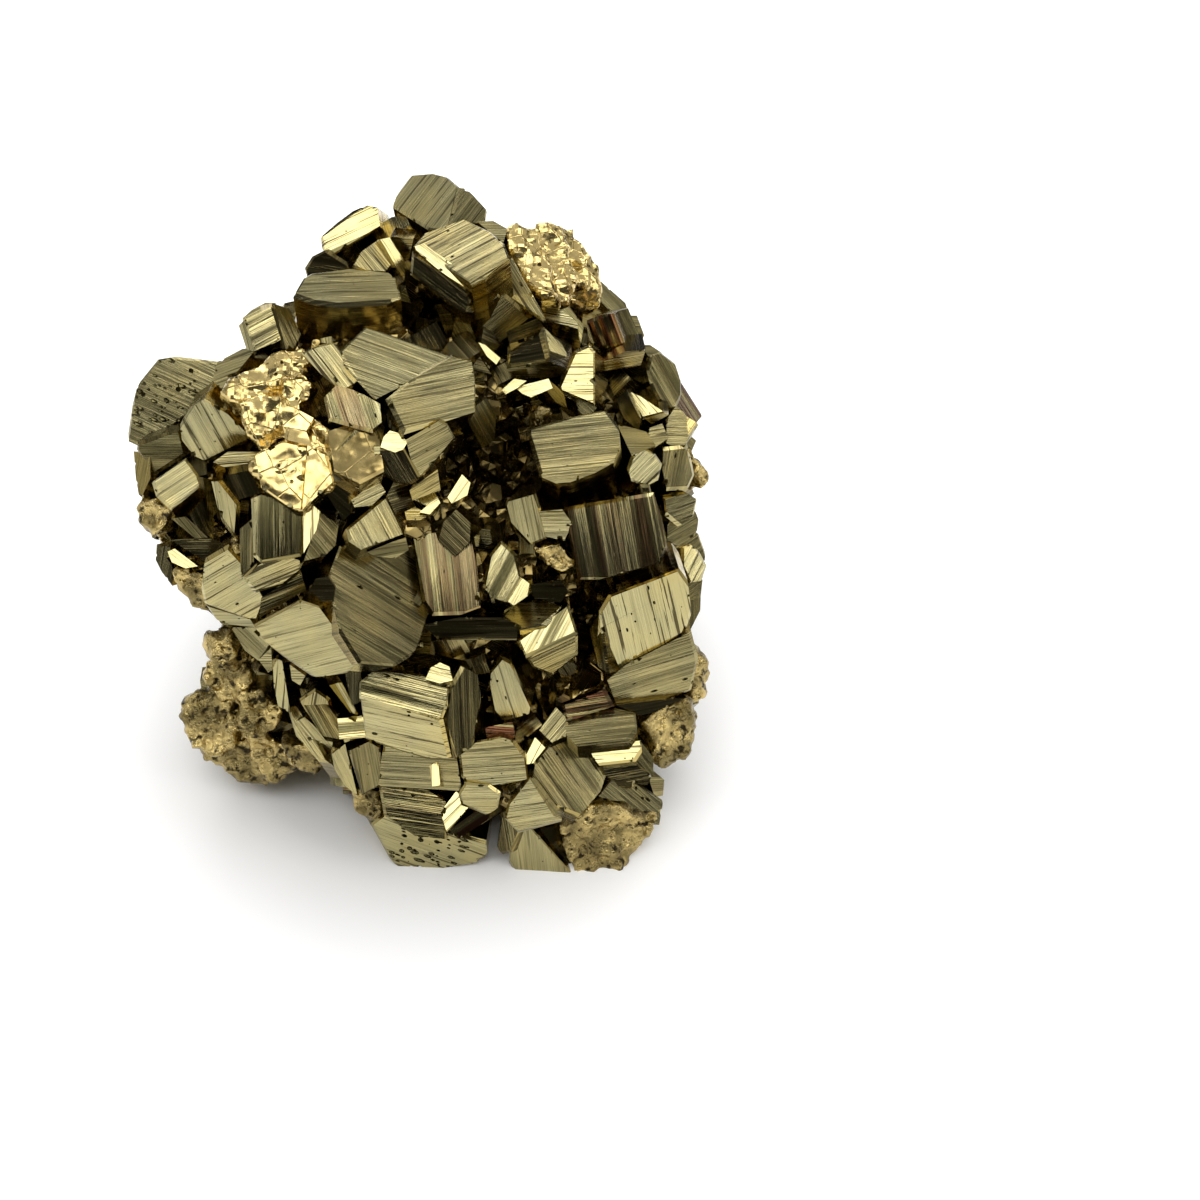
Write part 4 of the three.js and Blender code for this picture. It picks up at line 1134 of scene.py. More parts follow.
HOLLOWS = (
    Hollow("middle", (502, 462), 3.6, 6.0),
    Hollow("upper", (425, 316), 2.4, 4.0),
    Hollow("right slot", (586, 630), 2.0, 5.0),
    Hollow("under the largest block", (455, 630), 1.9, 3.5),
    Hollow("left ledge", (300, 640), 1.6, 3.0),
)


@dataclass
class Druse:
    """Small crystals in the gaps between the large ones, copied from a few shapes."""

    count: int = 1100
    shapes: int = 5
    fewest_cuts: int = 4
    cut_reach: Pair = (1.15, 0.3)
    small: float = 0.4
    large: float = 1.3
    proportions: tuple[float, float, float] = (1.0, 0.85, 1.1)
    sunk_share: Pair = (0.1, 0.3)
    front_edge: float = 0.3
    edge_room: float = 1.2
    one_kept_of: int = 3
    tones: tuple[Tone, ...] = (Tone.PLAIN, Tone.DARK, Tone.OLIVE, Tone.PALE, Tone.DARK)

    def shape(self, number: int) -> bpy.types.Object:
        """Model one of the shapes: a cube with some corners cut off.

        Args:
            number: which shape.

        Returns:
            Its object, 2 mm wide.
        """
        piece = add_primitive("cube", size=2.0)
        bpy.ops.object.mode_set(mode="EDIT")
        nearest, further = self.cut_reach
        for k in range(self.fewest_cuts + number % 3):
            way = Vector([1.0 if scatter(number * 7 + k, salt) > 0.5 else -1.0 for salt in (1, 2, 3)])
            way.x *= 0.6 + scatter(number * 5 + k, 4)
            way.normalize()
            bpy.ops.mesh.select_all(action="SELECT")
            bpy.ops.mesh.bisect(plane_co=way * (nearest + further * scatter(k, 9)),
                                plane_no=way, use_fill=True, clear_outer=True)
        bpy.ops.object.mode_set(mode="OBJECT")
        return piece

    def build(self, rock: bpy.types.Object) -> list[bpy.types.Object]:
        """Scatter the copies over the rock.

        Args:
            rock: the rock, whose faces they stand on.

        Returns:
            The copies.
        """
        shapes = [self.shape(number) for number in range(self.shapes)]
        pieces = []
        ground = rock.data.polygons
        for index in range(self.count):
            patch = ground[int(scatter(index, 30) * len(ground))]
            outward = patch.normal
            size = self.small + (self.large - self.small) * scatter(index, 31) ** 2
            least, more = self.sunk_share
            origin = patch.center - outward * size * (least + more * scatter(index, 32))
            at_front = outward.dot(VIEW.sight) < self.front_edge
            if origin.z < -size or (at_front and not behind_edge(origin, size * self.edge_room)):
                continue
            sunken = any(hollow.holds(origin) for hollow in HOLLOWS)
            if sunken and index % self.one_kept_of:
                continue
            turn = Quaternion(Vector([scatter(index, salt) - 0.5 for salt in (33, 34, 35)]).normalized(),
                              scatter(index, 36) * math.tau)
            place = Matrix.LocRotScale(origin, turn, Vector([size * share for share in self.proportions]))
            piece = copy_piece(shapes[index % self.shapes], place)
            self.spread_grain(piece, turn, index)
            # Crystals sunk in the hollows take the dark tone: painted shade
            tone = Tone.DARK if sunken else self.tones[index % len(self.tones)]
            mark_faces(piece, tone, scatter(index, 37), Finish.CRYSTAL)
            pieces.append(piece)
        for shape in shapes:
            remove_piece(shape)
        return pieces

    def spread_grain(self, piece: bpy.types.Object, turn: Quaternion, seed: int) -> None:
        """Lay the pattern along one axis of a copy.

        Args:
            piece: the copy.
            turn: how it is turned.
            seed: its number.
        """
        mesh, layer = piece.data, pattern_map(piece)
        axes = [turn @ Vector(axis) for axis in ((1, 0, 0), (0, 1, 0), (0, 0, 1))]
        for polygon in mesh.polygons:
            side = max(range(3), key=lambda k: abs(polygon.normal.dot(axes[k])))
            first, second = axes[(side + 1) % 3], axes[(side + 2) % 3]
            for corner in polygon.loop_indices:
                point = mesh.vertices[mesh.loops[corner].vertex_index].co
                layer.data[corner].uv = (point.dot(first) + seed, point.dot(second))


@dataclass(frozen=True)
class RoughStone:
    """Stone without crystal faces: a blocked-out shape is rounded off, then made lumpy and crumbly.

    Its lumps and its crumbs have a size and how far they move the surface, in millimetres.
    """

    finish: Finish
    tone: Tone
    lumps: Pair
    crumbs: Pair
    voxel: float
    faces_kept: float

    def roughen(self, piece: bpy.types.Object) -> None:
        """Turn a blocked-out shape into rough stone.

        Args:
            piece: the shape, as one closed mesh.
        """
        apply_modifier(piece, "REMESH", mode="VOXEL", voxel_size=self.voxel)
        for kind, (size, strength) in (("CLOUDS", self.lumps), ("VORONOI", self.crumbs)):
            pattern = bpy.data.textures.new(f"{piece.name}_{kind.lower()}", kind)
            pattern.noise_scale = size
            apply_modifier(piece, "DISPLACE", texture=pattern, texture_coords="GLOBAL",
                           strength=strength, mid_level=0.5)
        apply_modifier(piece, "DECIMATE", ratio=self.faces_kept)
        pattern_map(piece)
        mark_faces(piece, self.tone, EVEN_SEED, self.finish)


@dataclass
class Rock:
    """The rock that carries the crystals, in lobes with hollows, all rough."""

    below: float = 0.8
    lobe_steps: int = 4
    hollow_steps: int = 3
    stone: RoughStone = RoughStone(Finish.ROCK, Tone.DARK, (1.6, 1.5), (0.9, 0.6), 0.4, 0.4)

    def ball(self, name: str, place: Matrix, steps: int) -> bpy.types.Object:
        """Add one round solid.

        Args:
            name: its name.
            place: its middle, turn and three radii.
            steps: how finely it is divided.

        Returns:
            Its object.
        """
        piece = add_primitive("ico_sphere", subdivisions=steps, radius=1.0)
        piece.name = name
        piece.data.transform(place)
        return piece

    def lobe(self, lobe: Lobe) -> bpy.types.Object:
        """Add the rock inside one lobe."""
        radii = Vector(radius - SINK - self.below for radius in lobe.radii)
        return self.ball(lobe.name, Matrix.LocRotScale(Vector(lobe.centre), None, radii), self.lobe_steps)

    def hollow(self, hollow: Hollow) -> bpy.types.Object:
        """Add the cutter of one hollow, which points away from the eye.

        Args:
            hollow: the hollow.

        Returns:
            The cutter.
        """
        turn = UP.rotation_difference(VIEW.ray(*hollow.at))
        radii = Vector((hollow.radius, hollow.radius, hollow.depth))
        return self.ball(hollow.name, Matrix.LocRotScale(hollow.middle(), turn, radii), self.hollow_steps)

    def build(self) -> bpy.types.Object:
        """Model the lobes, cut the hollows and roughen all of it.

        Returns:
            The rock.
        """
        rock = join_pieces([self.lobe(lobe) for lobe in LOBES], "rock")
        cut_away(rock, [self.hollow(hollow) for hollow in HOLLOWS])
        self.stone.roughen(rock)
        return rock


@dataclass
class Wear:
    """Chips along the edges of the crystals, and the small pits in their faces."""

    least_size: float = 1.5
    chip_spacing: float = 2.6
    chip_small: float = 0.08
    chip_large: float = 0.28
    chip_proportions: tuple[float, float, float] = (1.0, 0.7, 0.8)
    chip_sunk: float = 0.2
    pit_spacing: float = 1.9
    pit_small: float = 0.05
    pit_large: float = 0.14
    pit_drawn_out: float = 2.0
    pit_depth: Pair = (0.10, 0.6)
    pitted_share: float = 9.0
    pitted_width: float = 1.7

    @staticmethod
    def copy_at(template: bpy.types.Object, place: Matrix, tone: Tone) -> bpy.types.Object:
        """Copy a cutter to a place.

        Args:
            template: the cutter.
            place: where it goes, and its turn and size.
            tone: the tone of the faces that it cuts, which for the pits is painted shade.

        Returns:
            The copy.
        """
        piece = copy_piece(template, place)
        mark_faces(piece, tone, EVEN_SEED, Finish.CRYSTAL)
        return piece

    def chips(self, crystal: Crystal, template: bpy.types.Object) -> list[bpy.types.Object]:
        """Place the chips of one crystal.

        Args:
            crystal: the crystal.
            template: the cutter that is copied.

        Returns:
            The cutters.
        """
        cutters = []
        for i, start in enumerate(crystal.corners):
            side = crystal.corners[(i + 1) % len(crystal.corners)] - start
            for k in range(int(side.length / self.chip_spacing + scatter(crystal.seed, 80 + i))):
                draw = crystal.seed + i * 0.31 + k * 0.17
                size = self.chip_small + (self.chip_large - self.chip_small) * scatter(draw, 81) ** 3
                centre = start + side * scatter(draw, 82) - crystal.facing * self.chip_sunk * size
                turn = Vector([scatter(draw, salt) - 0.5 for salt in (83, 84, 85)]).to_track_quat("X", "Z")
                scale = Vector([size * share for share in self.chip_proportions])
                cutters.append(self.copy_at(template, Matrix.LocRotScale(centre, turn, scale), Tone.PLAIN))
        return cutters

    def pits(self, crystal: Crystal, template: bpy.types.Object) -> list[bpy.types.Object]:
        """Place the pits of one crystal, drawn out along its striations.

        Args:
            crystal: the crystal.
            template: the cutter that is copied.

        Returns:
            The cutters.
        """
        cutters = []
        pitted = crystal.skin is Skin.PITTED
        share = self.pitted_share if pitted else scatter(crystal.seed, 90)
        count = int((crystal.size / self.pit_spacing) ** 2 * share)
        turn = Matrix((crystal.across, crystal.along, crystal.facing)).transposed().to_quaternion()
        for k in range(count):
            draw = crystal.seed + k * 0.23
            centre = (crystal.middle + crystal.across * (scatter(draw, 91) - 0.5) * crystal.size
                      + crystal.along * (scatter(draw, 92) - 0.5) * crystal.size)
            wide = self.pit_small + (self.pit_large - self.pit_small) * scatter(draw, 93) ** 2
            wide *= self.pitted_width if pitted else 1.0
            long = wide * (1.0 + self.pit_drawn_out * scatter(draw, 94))
            scale = Vector((wide, long, self.pit_depth[0] + wide * self.pit_depth[1]))
            # The pits' walls take the dark tone: painted shade in the pits
            cutters.append(self.copy_at(template, Matrix.LocRotScale(centre, turn, scale), Tone.DARK))
        return cutters

    def cut(self, cluster: bpy.types.Object, crystals: list[Crystal]) -> None:
        """Cut all chips and pits.

        Args:
            cluster: what they are cut from.
            crystals: the crystals that they belong to.
        """
        wedge = add_primitive("cube", size=2.0)
        bead = add_primitive("ico_sphere", subdivisions=1, radius=1.0)
        cutters = []
        for crystal in crystals:
            if crystal.has_faces and crystal.size > self.least_size:
                cutters += self.chips(crystal, wedge) + self.pits(crystal, bead)
        log.info("%d chips and pits", len(cutters))
        cut_away(cluster, cutters)
        remove_piece(wedge)
        remove_piece(bead)


@dataclass
class Nodes:
    """Adds and links the nodes of one material."""

    tree: bpy.types.NodeTree

    @classmethod
    def of_material(cls, name: str) -> tuple[bpy.types.Material, "Nodes"]:
        """Start a material.

        Args:
            name: its name.

        Returns:
            The material and its nodes.
        """
        material = bpy.data.materials.new(name)
        material.use_nodes = True
        return material, cls(material.node_tree)

    @property
    def shader(self) -> bpy.types.Node:
        """The material's shader."""
        return self.tree.nodes["Principled BSDF"]

    def add(self, kind: str, **settings: object) -> bpy.types.Node:
        """Add a node.

        Args:
            kind: the node's type.
            settings: its properties, or socket values under the socket's name.

        Returns:
            The node.
        """
        node = self.tree.nodes.new(kind)
        for name, value in settings.items():
            if hasattr(node, name):
                setattr(node, name, value)
            else:
                node.inputs[name.replace("_", " ")].default_value = value
        return node

    def feed(self, value: object, target: bpy.types.NodeSocket) -> None:
        """Give a socket its value.

        Args:
            value: a socket that is linked to it, or a number or colour of its own.
            target: the socket.
        """
        if isinstance(value, bpy.types.NodeSocket):
            self.tree.links.new(value, target)
        else:
            target.default_value = value

    def attribute(self, name: str) -> bpy.types.NodeSocket:
        """Read a number that is stored on the piece's faces."""
        return self.add("ShaderNodeAttribute", attribute_name=name).outputs["Fac"]

    def math(self, operation: str, *values: object) -> bpy.types.NodeSocket:
        """Work out a number.

        Args:
            operation: the Math node's operation.
            values: the numbers or sockets that go into it.

        Returns:
            The result's socket.
        """
        node = self.add("ShaderNodeMath", operation=operation)
        for value, socket in zip(values, node.inputs):
            self.feed(value, socket)
        return node.outputs[0]

    def mix(self, share: object, first: object, second: object) -> bpy.types.NodeSocket:
        """Mix two colours.

        Args:
            share: how much of the second, as a number or a socket.
            first: a colour or a socket.
            second: a colour or a socket.

        Returns:
            The result's socket.
        """
        node = self.add("ShaderNodeMix", data_type="RGBA")
        sockets = {socket.identifier: socket for socket in [*node.inputs, *node.outputs]}
        for name, value in (("Factor_Float", share), ("A_Color", first), ("B_Color", second)):
            self.feed(value, sockets[name])
        return sockets["Result_Color"]

    def stretch(self, source: bpy.types.NodeSocket, low: float, high: float,
                start: float = 0.0, end: float = 1.0) -> bpy.types.NodeSocket:
        """Bring a number from one range to another and keep it inside.

        Args:
            source: the number.
            low: where the first range starts.
            high: where it ends.
            start: where the second range starts.
            end: where it ends.

        Returns:
            The result's socket.
        """
        node = self.add("ShaderNodeMapRange", clamp=True)
        for value, name in ((source, "Value"), (low, "From Min"), (high, "From Max"),
                            (start, "To Min"), (end, "To Max")):
            self.feed(value, node.inputs[name])
        return node.outputs["Result"]

    def grain(self, scale: Pair, detail: float = 2.0) -> bpy.types.NodeSocket:
        """Give a noise that is drawn out along the striations.

        Args:
            scale: how often it changes across and along the striations, per millimetre.
            detail: how fine it gets.

        Returns:
            The noise's socket.
        """
        place = self.add("ShaderNodeUVMap", uv_map="UVMap").outputs[0]
        mapping = self.add("ShaderNodeMapping", Scale=(*scale, 1.0))
        self.feed(place, mapping.inputs["Vector"])
        noise = self.add("ShaderNodeTexNoise", noise_dimensions="2D", Scale=1.0, Detail=detail)
        self.feed(mapping.outputs[0], noise.inputs["Vector"])
        return noise.outputs[0]

    def in_space(self, kind: str, scale: float, **settings: object) -> bpy.types.Node:
        """Add a pattern of the piece's own space.

        Args:
            kind: the pattern's type.
            scale: how often it changes, per millimetre.
            settings: its properties, or socket values under the socket's name.

        Returns:
            The pattern's node.
        """
        pattern = self.add(kind, Scale=scale / MILLIMETRE, **settings)
        self.feed(self.add("ShaderNodeTexCoord").outputs["Object"], pattern.inputs["Vector"])
        return pattern

    def speckle(self, scale: float, detail: float = 2.0) -> bpy.types.NodeSocket:
        """Give a noise that changes so often per millimetre, as fine as the detail says."""
        return self.in_space("ShaderNodeTexNoise", scale, Detail=detail).outputs[0]

    def cells(self, scale: float, feature: str = "F1") -> bpy.types.NodeSocket:
        """Give the distances of a pattern of so many cells per millimetre."""
        return self.in_space("ShaderNodeTexVoronoi", scale, feature=feature).outputs["Distance"]

    def depth(self, shallow: float, deep: float, strongest: float) -> bpy.types.NodeSocket:
        """Give how much painted shade darkens the piece, from how deep it is between the crystals.

        Args:
            shallow: the depth where the painted shade starts, in millimetres.
            deep: the depth where it is darkest.
            strongest: how much there is then.

        Returns:
            The share's socket.
        """
        return self.stretch(self.attribute("depth"), shallow, deep, 0.0, strongest)

    def dress(self, colour: bpy.types.NodeSocket, roughness: bpy.types.NodeSocket,
              height: bpy.types.NodeSocket, relief: float) -> None:
        """Make the shader metal, with its colour, roughness and bump.

        Args:
            colour: the colour.
            roughness: the roughness.
            height: the height of the bump.
            relief: how high the bump stands, in metres.
        """
        bump = self.add("ShaderNodeBump", Strength=1.0, Distance=relief)
        self.feed(height, bump.inputs["Height"])
        for name, value in (("Metallic", 1.0), ("Base Color", colour), ("Roughness", roughness),
                            ("Normal", bump.outputs[0])):
            self.feed(value, self.shader.inputs[name])


@dataclass(frozen=True)
class CrystalFinish:
    """Brassy crystal faces, finely striated, with a thin tarnish and painted reflected light that differ by
    crystal.

    Each grain has how often it changes across and along the striations, per millimetre, and its
    detail. The painted shade in the gaps has the depths where it starts and is darkest, and how strong it is
    then.
    """

    fresh: Colour = (0.455, 0.415, 0.22, 1.0)
    brassy: Colour = (0.45, 0.35, 0.12, 1.0)
    dim: Colour = (0.098, 0.086, 0.036, 1.0)
    russet: Colour = (0.10, 0.034, 0.018, 1.0)
    line: Colour = (0.04, 0.03, 0.013, 1.0)
    # Near-black of the dark spots, and of the painted shade deep in the gaps
    dirt_and_shade: Colour = (0.04, 0.03, 0.011, 1.0)
    fine_grain: tuple[Pair, float] = ((11.0, 0.2), 3.0)
    line_grain: tuple[Pair, float] = ((4.6, 0.12), 4.0)
    wide_grain: tuple[Pair, float] = ((1.4, 0.05), 1.0)
    band_grain: tuple[Pair, float] = ((1.1, 0.03), 3.0)
    cloud: float = 0.3
    cloud_warmth: Span = (0.3, 0.7, -0.25, 0.25)
    cloud_light: Span = (0.35, 0.65, -0.10, 0.10)
    grain_light: Span = (0.35, 0.65, -0.18, 0.18)
    band_light: Span = (0.42, 0.58, -0.55, 0.45)
    patch_edge: Pair = (0.4, 0.55)
    line_edge: Pair = (0.61, 0.635)
    line_strength: Span = (0.0, 1.0, 0.4, 0.95)
    spots: float = 1.2
    spot_edge: Pair = (0.07, 0.04)
    shade_depth: tuple[float, float, float] = (1.0, 4.2, 0.85)
    roughness: Span = (0.3, 0.7, 0.16, 0.26)
    gap_roughness: float = 0.15
    polish: float = 0.09
    wide_height: float = 1.2
    fine_height: float = 0.45
    spot_height: float = 0.8
    relief: float = 0.00003

    def metal(self, nodes: Nodes, fine: bpy.types.NodeSocket) -> bpy.types.NodeSocket:
        """Give the colour of the clean metal: brighter and dimmer by crystal, cloud, grain and band; the
        crystal's brightness and the bands are partly painted reflected light.

        Args:
            nodes: the material's nodes.
            fine: the finest grain.

        Returns:
            The colour's socket.
        """
        cloud = nodes.speckle(self.cloud)
        warmth = nodes.math("ADD", nodes.attribute("warm"), nodes.stretch(cloud, *self.cloud_warmth))
        bright = nodes.math("ADD", nodes.attribute("bright"), nodes.stretch(cloud, *self.cloud_light))
        bright = nodes.math("ADD", bright, nodes.stretch(fine, *self.grain_light))
        # Bands along the striations, partly painted stripes of reflected light, as strong as the tone's
        # banding
        band = nodes.stretch(nodes.grain(*self.band_grain), *self.band_light)
        bright = nodes.math("MULTIPLY_ADD", band, nodes.attribute("bands"), bright)
        clean = nodes.mix(warmth, self.fresh, self.brassy)
        # Painted reflected light: each crystal's brightness mixes the clean colour down towards dim
        return nodes.mix(nodes.stretch(bright, 0.0, 1.0), self.dim, clean)

    def build(self) -> bpy.types.Material:
        """Make the material.

        Returns:
            The material.
        """
        material, nodes = Nodes.of_material("pyrite_crystal")
        fine = nodes.grain(*self.fine_grain)
        wide = nodes.grain(*self.wide_grain)
        patch = nodes.math("MULTIPLY", nodes.attribute("red"), nodes.stretch(wide, *self.patch_edge))
        stained = nodes.mix(patch, self.metal(nodes, fine), self.russet)
        strength = nodes.stretch(nodes.attribute("seed"), *self.line_strength)
        line = nodes.stretch(nodes.grain(*self.line_grain), *self.line_edge)
        lined = nodes.mix(nodes.math("MULTIPLY", line, strength), stained, self.line)
        spot = nodes.stretch(nodes.cells(self.spots), *self.spot_edge)
        # Painted shade: the colour darkens towards near-black deep in the gaps, over the dark spots
        depth = nodes.depth(*self.shade_depth)
        colour = nodes.mix(depth, nodes.mix(spot, lined, self.dirt_and_shade), self.dirt_and_shade)
        rough = nodes.math("MULTIPLY_ADD", depth, self.gap_roughness, nodes.stretch(fine, *self.roughness))
        rough = nodes.math("SUBTRACT", rough, nodes.math("MULTIPLY", nodes.attribute("polish"), self.polish))
        height = nodes.math("MULTIPLY_ADD", wide, self.wide_height,
                            nodes.math("MULTIPLY", fine, self.fine_height))
        height = nodes.math("SUBTRACT", height, nodes.math("MULTIPLY", spot, self.spot_height))
        nodes.dress(colour, rough, height, self.relief)
        return material


@dataclass(frozen=True)
class CrumblyFinish:
    """Fine-grained pyrite without faces of its own, sandy and full of small dark holes.

    Each noise has how often it changes per millimetre, and its detail.
    """

    light: Colour = (0.57, 0.435, 0.17, 1.0)
    deep: Colour = (0.20, 0.155, 0.06, 1.0)
    # Near-black of the small holes, also used for the painted shade deep in the gaps
    stain: Colour = (0.03, 0.022, 0.01, 1.0)
    cloud: Pair = (0.45, 5.0)
    cloud_edge: Pair = (0.40, 0.60)
    grit: Pair = (1.6, 6.0)
    hole_edge: Pair = (0.45, 0.36)
    shade_depth: tuple[float, float, float] = (1.6, 3.8, 0.93)
    fine: Pair = (2.0, 2.0)
    roughness: Span = (0.35, 0.65, 0.14, 0.4)
    relief: float = 0.0003

    def build(self) -> bpy.types.Material:
        """Make the material.

        Returns:
            The material.
        """
        material, nodes = Nodes.of_material("pyrite_crumbly")
        cloud = nodes.stretch(nodes.speckle(*self.cloud), *self.cloud_edge)
        metal = nodes.mix(cloud, self.deep, self.light)
        grit = nodes.speckle(*self.grit)
        holed = nodes.mix(nodes.stretch(grit, *self.hole_edge), metal, self.stain)
        # Painted shade: the lumps darken to the stain colour deep in the gaps
        colour = nodes.mix(nodes.depth(*self.shade_depth), holed, self.stain)
        rough = nodes.stretch(nodes.speckle(*self.fine), *self.roughness)
        nodes.dress(colour, rough, grit, self.relief)
        return material


@dataclass(frozen=True)
class HammeredFinish:
    """Smooth golden pyrite, crumpled like foil, with a few fine dark cracks.

    Each noise has how often it changes per millimetre, and its detail.
    """

    light: Colour = (0.73, 0.56, 0.225, 1.0)
    deep: Colour = (0.22, 0.165, 0.06, 1.0)
    # Near-black of the cracks and holes, also used for the painted shade deep in the gaps
    crack: Colour = (0.05, 0.035, 0.012, 1.0)
    cloud: Pair = (0.5, 3.0)
    cloud_light: Span = (0.38, 0.62, -0.3, 0.2)
    cracks: float = 0.4
    crack_edge: Span = (0.02, 0.0, 0.0, 0.3)
    holes: float = 0.8
    hole_edge: Pair = (0.14, 0.09)
    hole_height: float = 0.1
    shade_depth: tuple[float, float, float] = (1.6, 3.8, 0.93)
    fine: Pair = (2.0, 2.0)
    roughness: Span = (0.3, 0.7, 0.14, 0.28)
    swell: Pair = (0.55, 1.5)
    relief: float = 0.0004

    def build(self) -> bpy.types.Material:
        """Make the material.

        Returns:
            The material.
        """
        material, nodes = Nodes.of_material("pyrite_hammered")
        cloud = nodes.stretch(nodes.speckle(*self.cloud), *self.cloud_light)
        # Painted reflected light: the face's brightness, with a cloudy variation
        bright = nodes.stretch(nodes.math("ADD", nodes.attribute("bright"), cloud), 0.0, 1.0)
        crack = nodes.stretch(nodes.cells(self.cracks, "DISTANCE_TO_EDGE"), *self.crack_edge)
        hole = nodes.math("MAXIMUM", crack, nodes.stretch(nodes.cells(self.holes), *self.hole_edge))
        cracked = nodes.mix(hole, nodes.mix(bright, self.deep, self.light), self.crack)
        # Painted shade: the gold darkens to the crack colour deep in the gaps
        colour = nodes.mix(nodes.depth(*self.shade_depth), cracked, self.crack)
        rough = nodes.stretch(nodes.speckle(*self.fine), *self.roughness)
        dent = nodes.math("MULTIPLY", hole, self.hole_height)
        height = nodes.math("SUBTRACT", nodes.speckle(*self.swell), dent)
        nodes.dress(colour, rough, height, self.relief)
        return material


@dataclass(frozen=True)
class RockFinish:
    """Dark tarnished rock between the crystals, with painted shade that darkens it deep in the gaps.

    Each noise has how often it changes per millimetre, and its detail.
    """

    metal: Colour = (0.20, 0.155, 0.045, 1.0)
    stain: Colour = (0.012, 0.009, 0.005, 1.0)
    # Near-black of the painted shade deep in the gaps
    hole: Colour = (0.003, 0.002, 0.001, 1.0)
    cloud: Pair = (1.2, 4.0)
    cloud_edge: Pair = (0.4, 0.62)
    shade_depth: tuple[float, float, float] = (2.0, 4.0, 0.95)
    fine: Pair = (2.4, 2.0)
    roughness: Span = (0.3, 0.7, 0.28, 0.6)
    bumps: Pair = (1.8, 4.0)
    relief: float = 0.0001

    def build(self) -> bpy.types.Material:
        """Make the material.

        Returns:
            The material.
        """
        material, nodes = Nodes.of_material("pyrite_rock")
        cloud = nodes.stretch(nodes.speckle(*self.cloud), *self.cloud_edge)
        metal = nodes.mix(cloud, self.stain, self.metal)
        # Painted shade: the rock darkens to near-black deep in the gaps
        colour = nodes.mix(nodes.depth(*self.shade_depth), metal, self.hole)
        rough = nodes.stretch(nodes.speckle(*self.fine), *self.roughness)
        nodes.dress(colour, rough, nodes.speckle(*self.bumps), self.relief)
        return material


@dataclass
class Cluster:
    """The whole specimen: rock, crystals and granular lumps in one closed mesh."""

    name: str = "pyrite_crystals"
    sharp_angle: float = math.radians(80.0)
    ground_width: float = 90.0
    ground_depth: float = 40.0
    crumbly: RoughStone = RoughStone(Finish.CRUMBLY, Tone.GOLD, (2.2, 1.5), (0.8, 0.5), 0.17, 0.4)
    hammered: RoughStone = RoughStone(Finish.HAMMERED, Tone.GOLD, (2.8, 1.7), (2.4, 0.25), 0.2, 0.7)

    def flatten(self, piece: bpy.types.Object) -> None:
        """Cut off what lies below the plane that the specimen rests on.

        Args:
            piece: the joined cluster, in millimetres.
        """
        ground = add_primitive("cube", size=1.0, location=(0.0, 0.0, -self.ground_depth / 2.0),
                               scale=(self.ground_width, self.ground_width, self.ground_depth))
        bpy.ops.object.transform_apply(location=True, rotation=True, scale=True)
        mark_faces(ground, Tone.DARK, EVEN_SEED, Finish.ROCK)
        apply_modifier(piece, "BOOLEAN", operation="DIFFERENCE", solver="MANIFOLD", object=ground)
        remove_piece(ground)

    def smooth(self, piece: bpy.types.Object) -> None:
        """Shade the hammered gold smooth between its sharper edges.

        Args:
            piece: the cluster.
        """
        pick(piece)
        bpy.ops.object.mode_set(mode="EDIT")
        bpy.ops.mesh.select_mode(type="EDGE")
        bpy.ops.mesh.select_all(action="DESELECT")
        bpy.ops.mesh.edges_select_sharp(sharpness=self.sharp_angle)
        bpy.ops.mesh.mark_sharp()
        bpy.ops.mesh.select_mode(type="FACE")
        bpy.ops.object.mode_set(mode="OBJECT")
        slots = np.empty(len(piece.data.polygons), dtype=np.int32)
        piece.data.polygons.foreach_get("material_index", slots)
        piece.data.polygons.foreach_set("use_smooth", slots == Finish.HAMMERED.value)

    def mark_depth(self, piece: bpy.types.Object) -> None:
        """Store how deep each point lies below the lobes, for the painted shade in the gaps.

        Args:
            piece: the cluster, in millimetres.
        """
        count = len(piece.data.vertices)
        points = np.empty(count * 3)
        piece.data.vertices.foreach_get("co", points)
        points = points.reshape(-1, 3)
        depth = np.full(count, -math.inf)
        for lobe in LOBES:
            radii = np.array(lobe.radii)
            inside = 1.0 - np.linalg.norm((points - np.array(lobe.centre)) / radii, axis=1)
            depth = np.maximum(depth, inside * radii.mean())
        layer = piece.data.attributes.new("depth", "FLOAT", "POINT")
        layer.data.foreach_set("value", depth.astype(np.float32))

    def lumps(self, stone: RoughStone, blocks: list[bpy.types.Object]) -> bpy.types.Object:
        """Make golden lumps from their blocked-out shapes.

        Args:
            stone: what they are made of.
            blocks: the shapes, which are used up.

        Returns:
            The lumps, as one piece.
        """
        piece = join_pieces(blocks, f"{stone.finish.name.lower()}_lumps")
        stone.roughen(piece)
        return piece

    def build(self) -> bpy.types.Object:
        """Model the cluster and give it its finishes.

        Returns:
            The cluster.
        """
        rock = Rock().build()
        log.info("rock: %d faces", len(rock.data.polygons))
        seen, grown = SeenCrystals().place(), GrownCrystals().place()
        pieces = {skin: [] for skin in Skin}
        pieces[Skin.SMOOTH] = pieces[Skin.PITTED] = pieces[Skin.FACETED]
        for crystal in [*seen, *grown]:
            pieces[crystal.skin].append(crystal.build())
        log.info("%d crystals seen from the front, %d grown round them", len(seen), len(grown))
        druse = Druse().build(rock)
        log.info("%d small crystals", len(druse))
        crumbly = self.lumps(self.crumbly, pieces[Skin.CRUMBLY])
        hammered = self.lumps(self.hammered, pieces[Skin.HAMMERED])
        cluster = join_pieces([rock, *pieces[Skin.FACETED], *druse, crumbly, hammered], self.name)
        Wear().cut(cluster, [*seen, *grown])
        self.flatten(cluster)
        self.smooth(cluster)
        self.mark_depth(cluster)
        cluster.scale = (MILLIMETRE,) * 3
        pick(cluster)
        bpy.ops.object.transform_apply(location=True, rotation=True, scale=True)
        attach(cluster, "root")
        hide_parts(NODE)
        return cluster


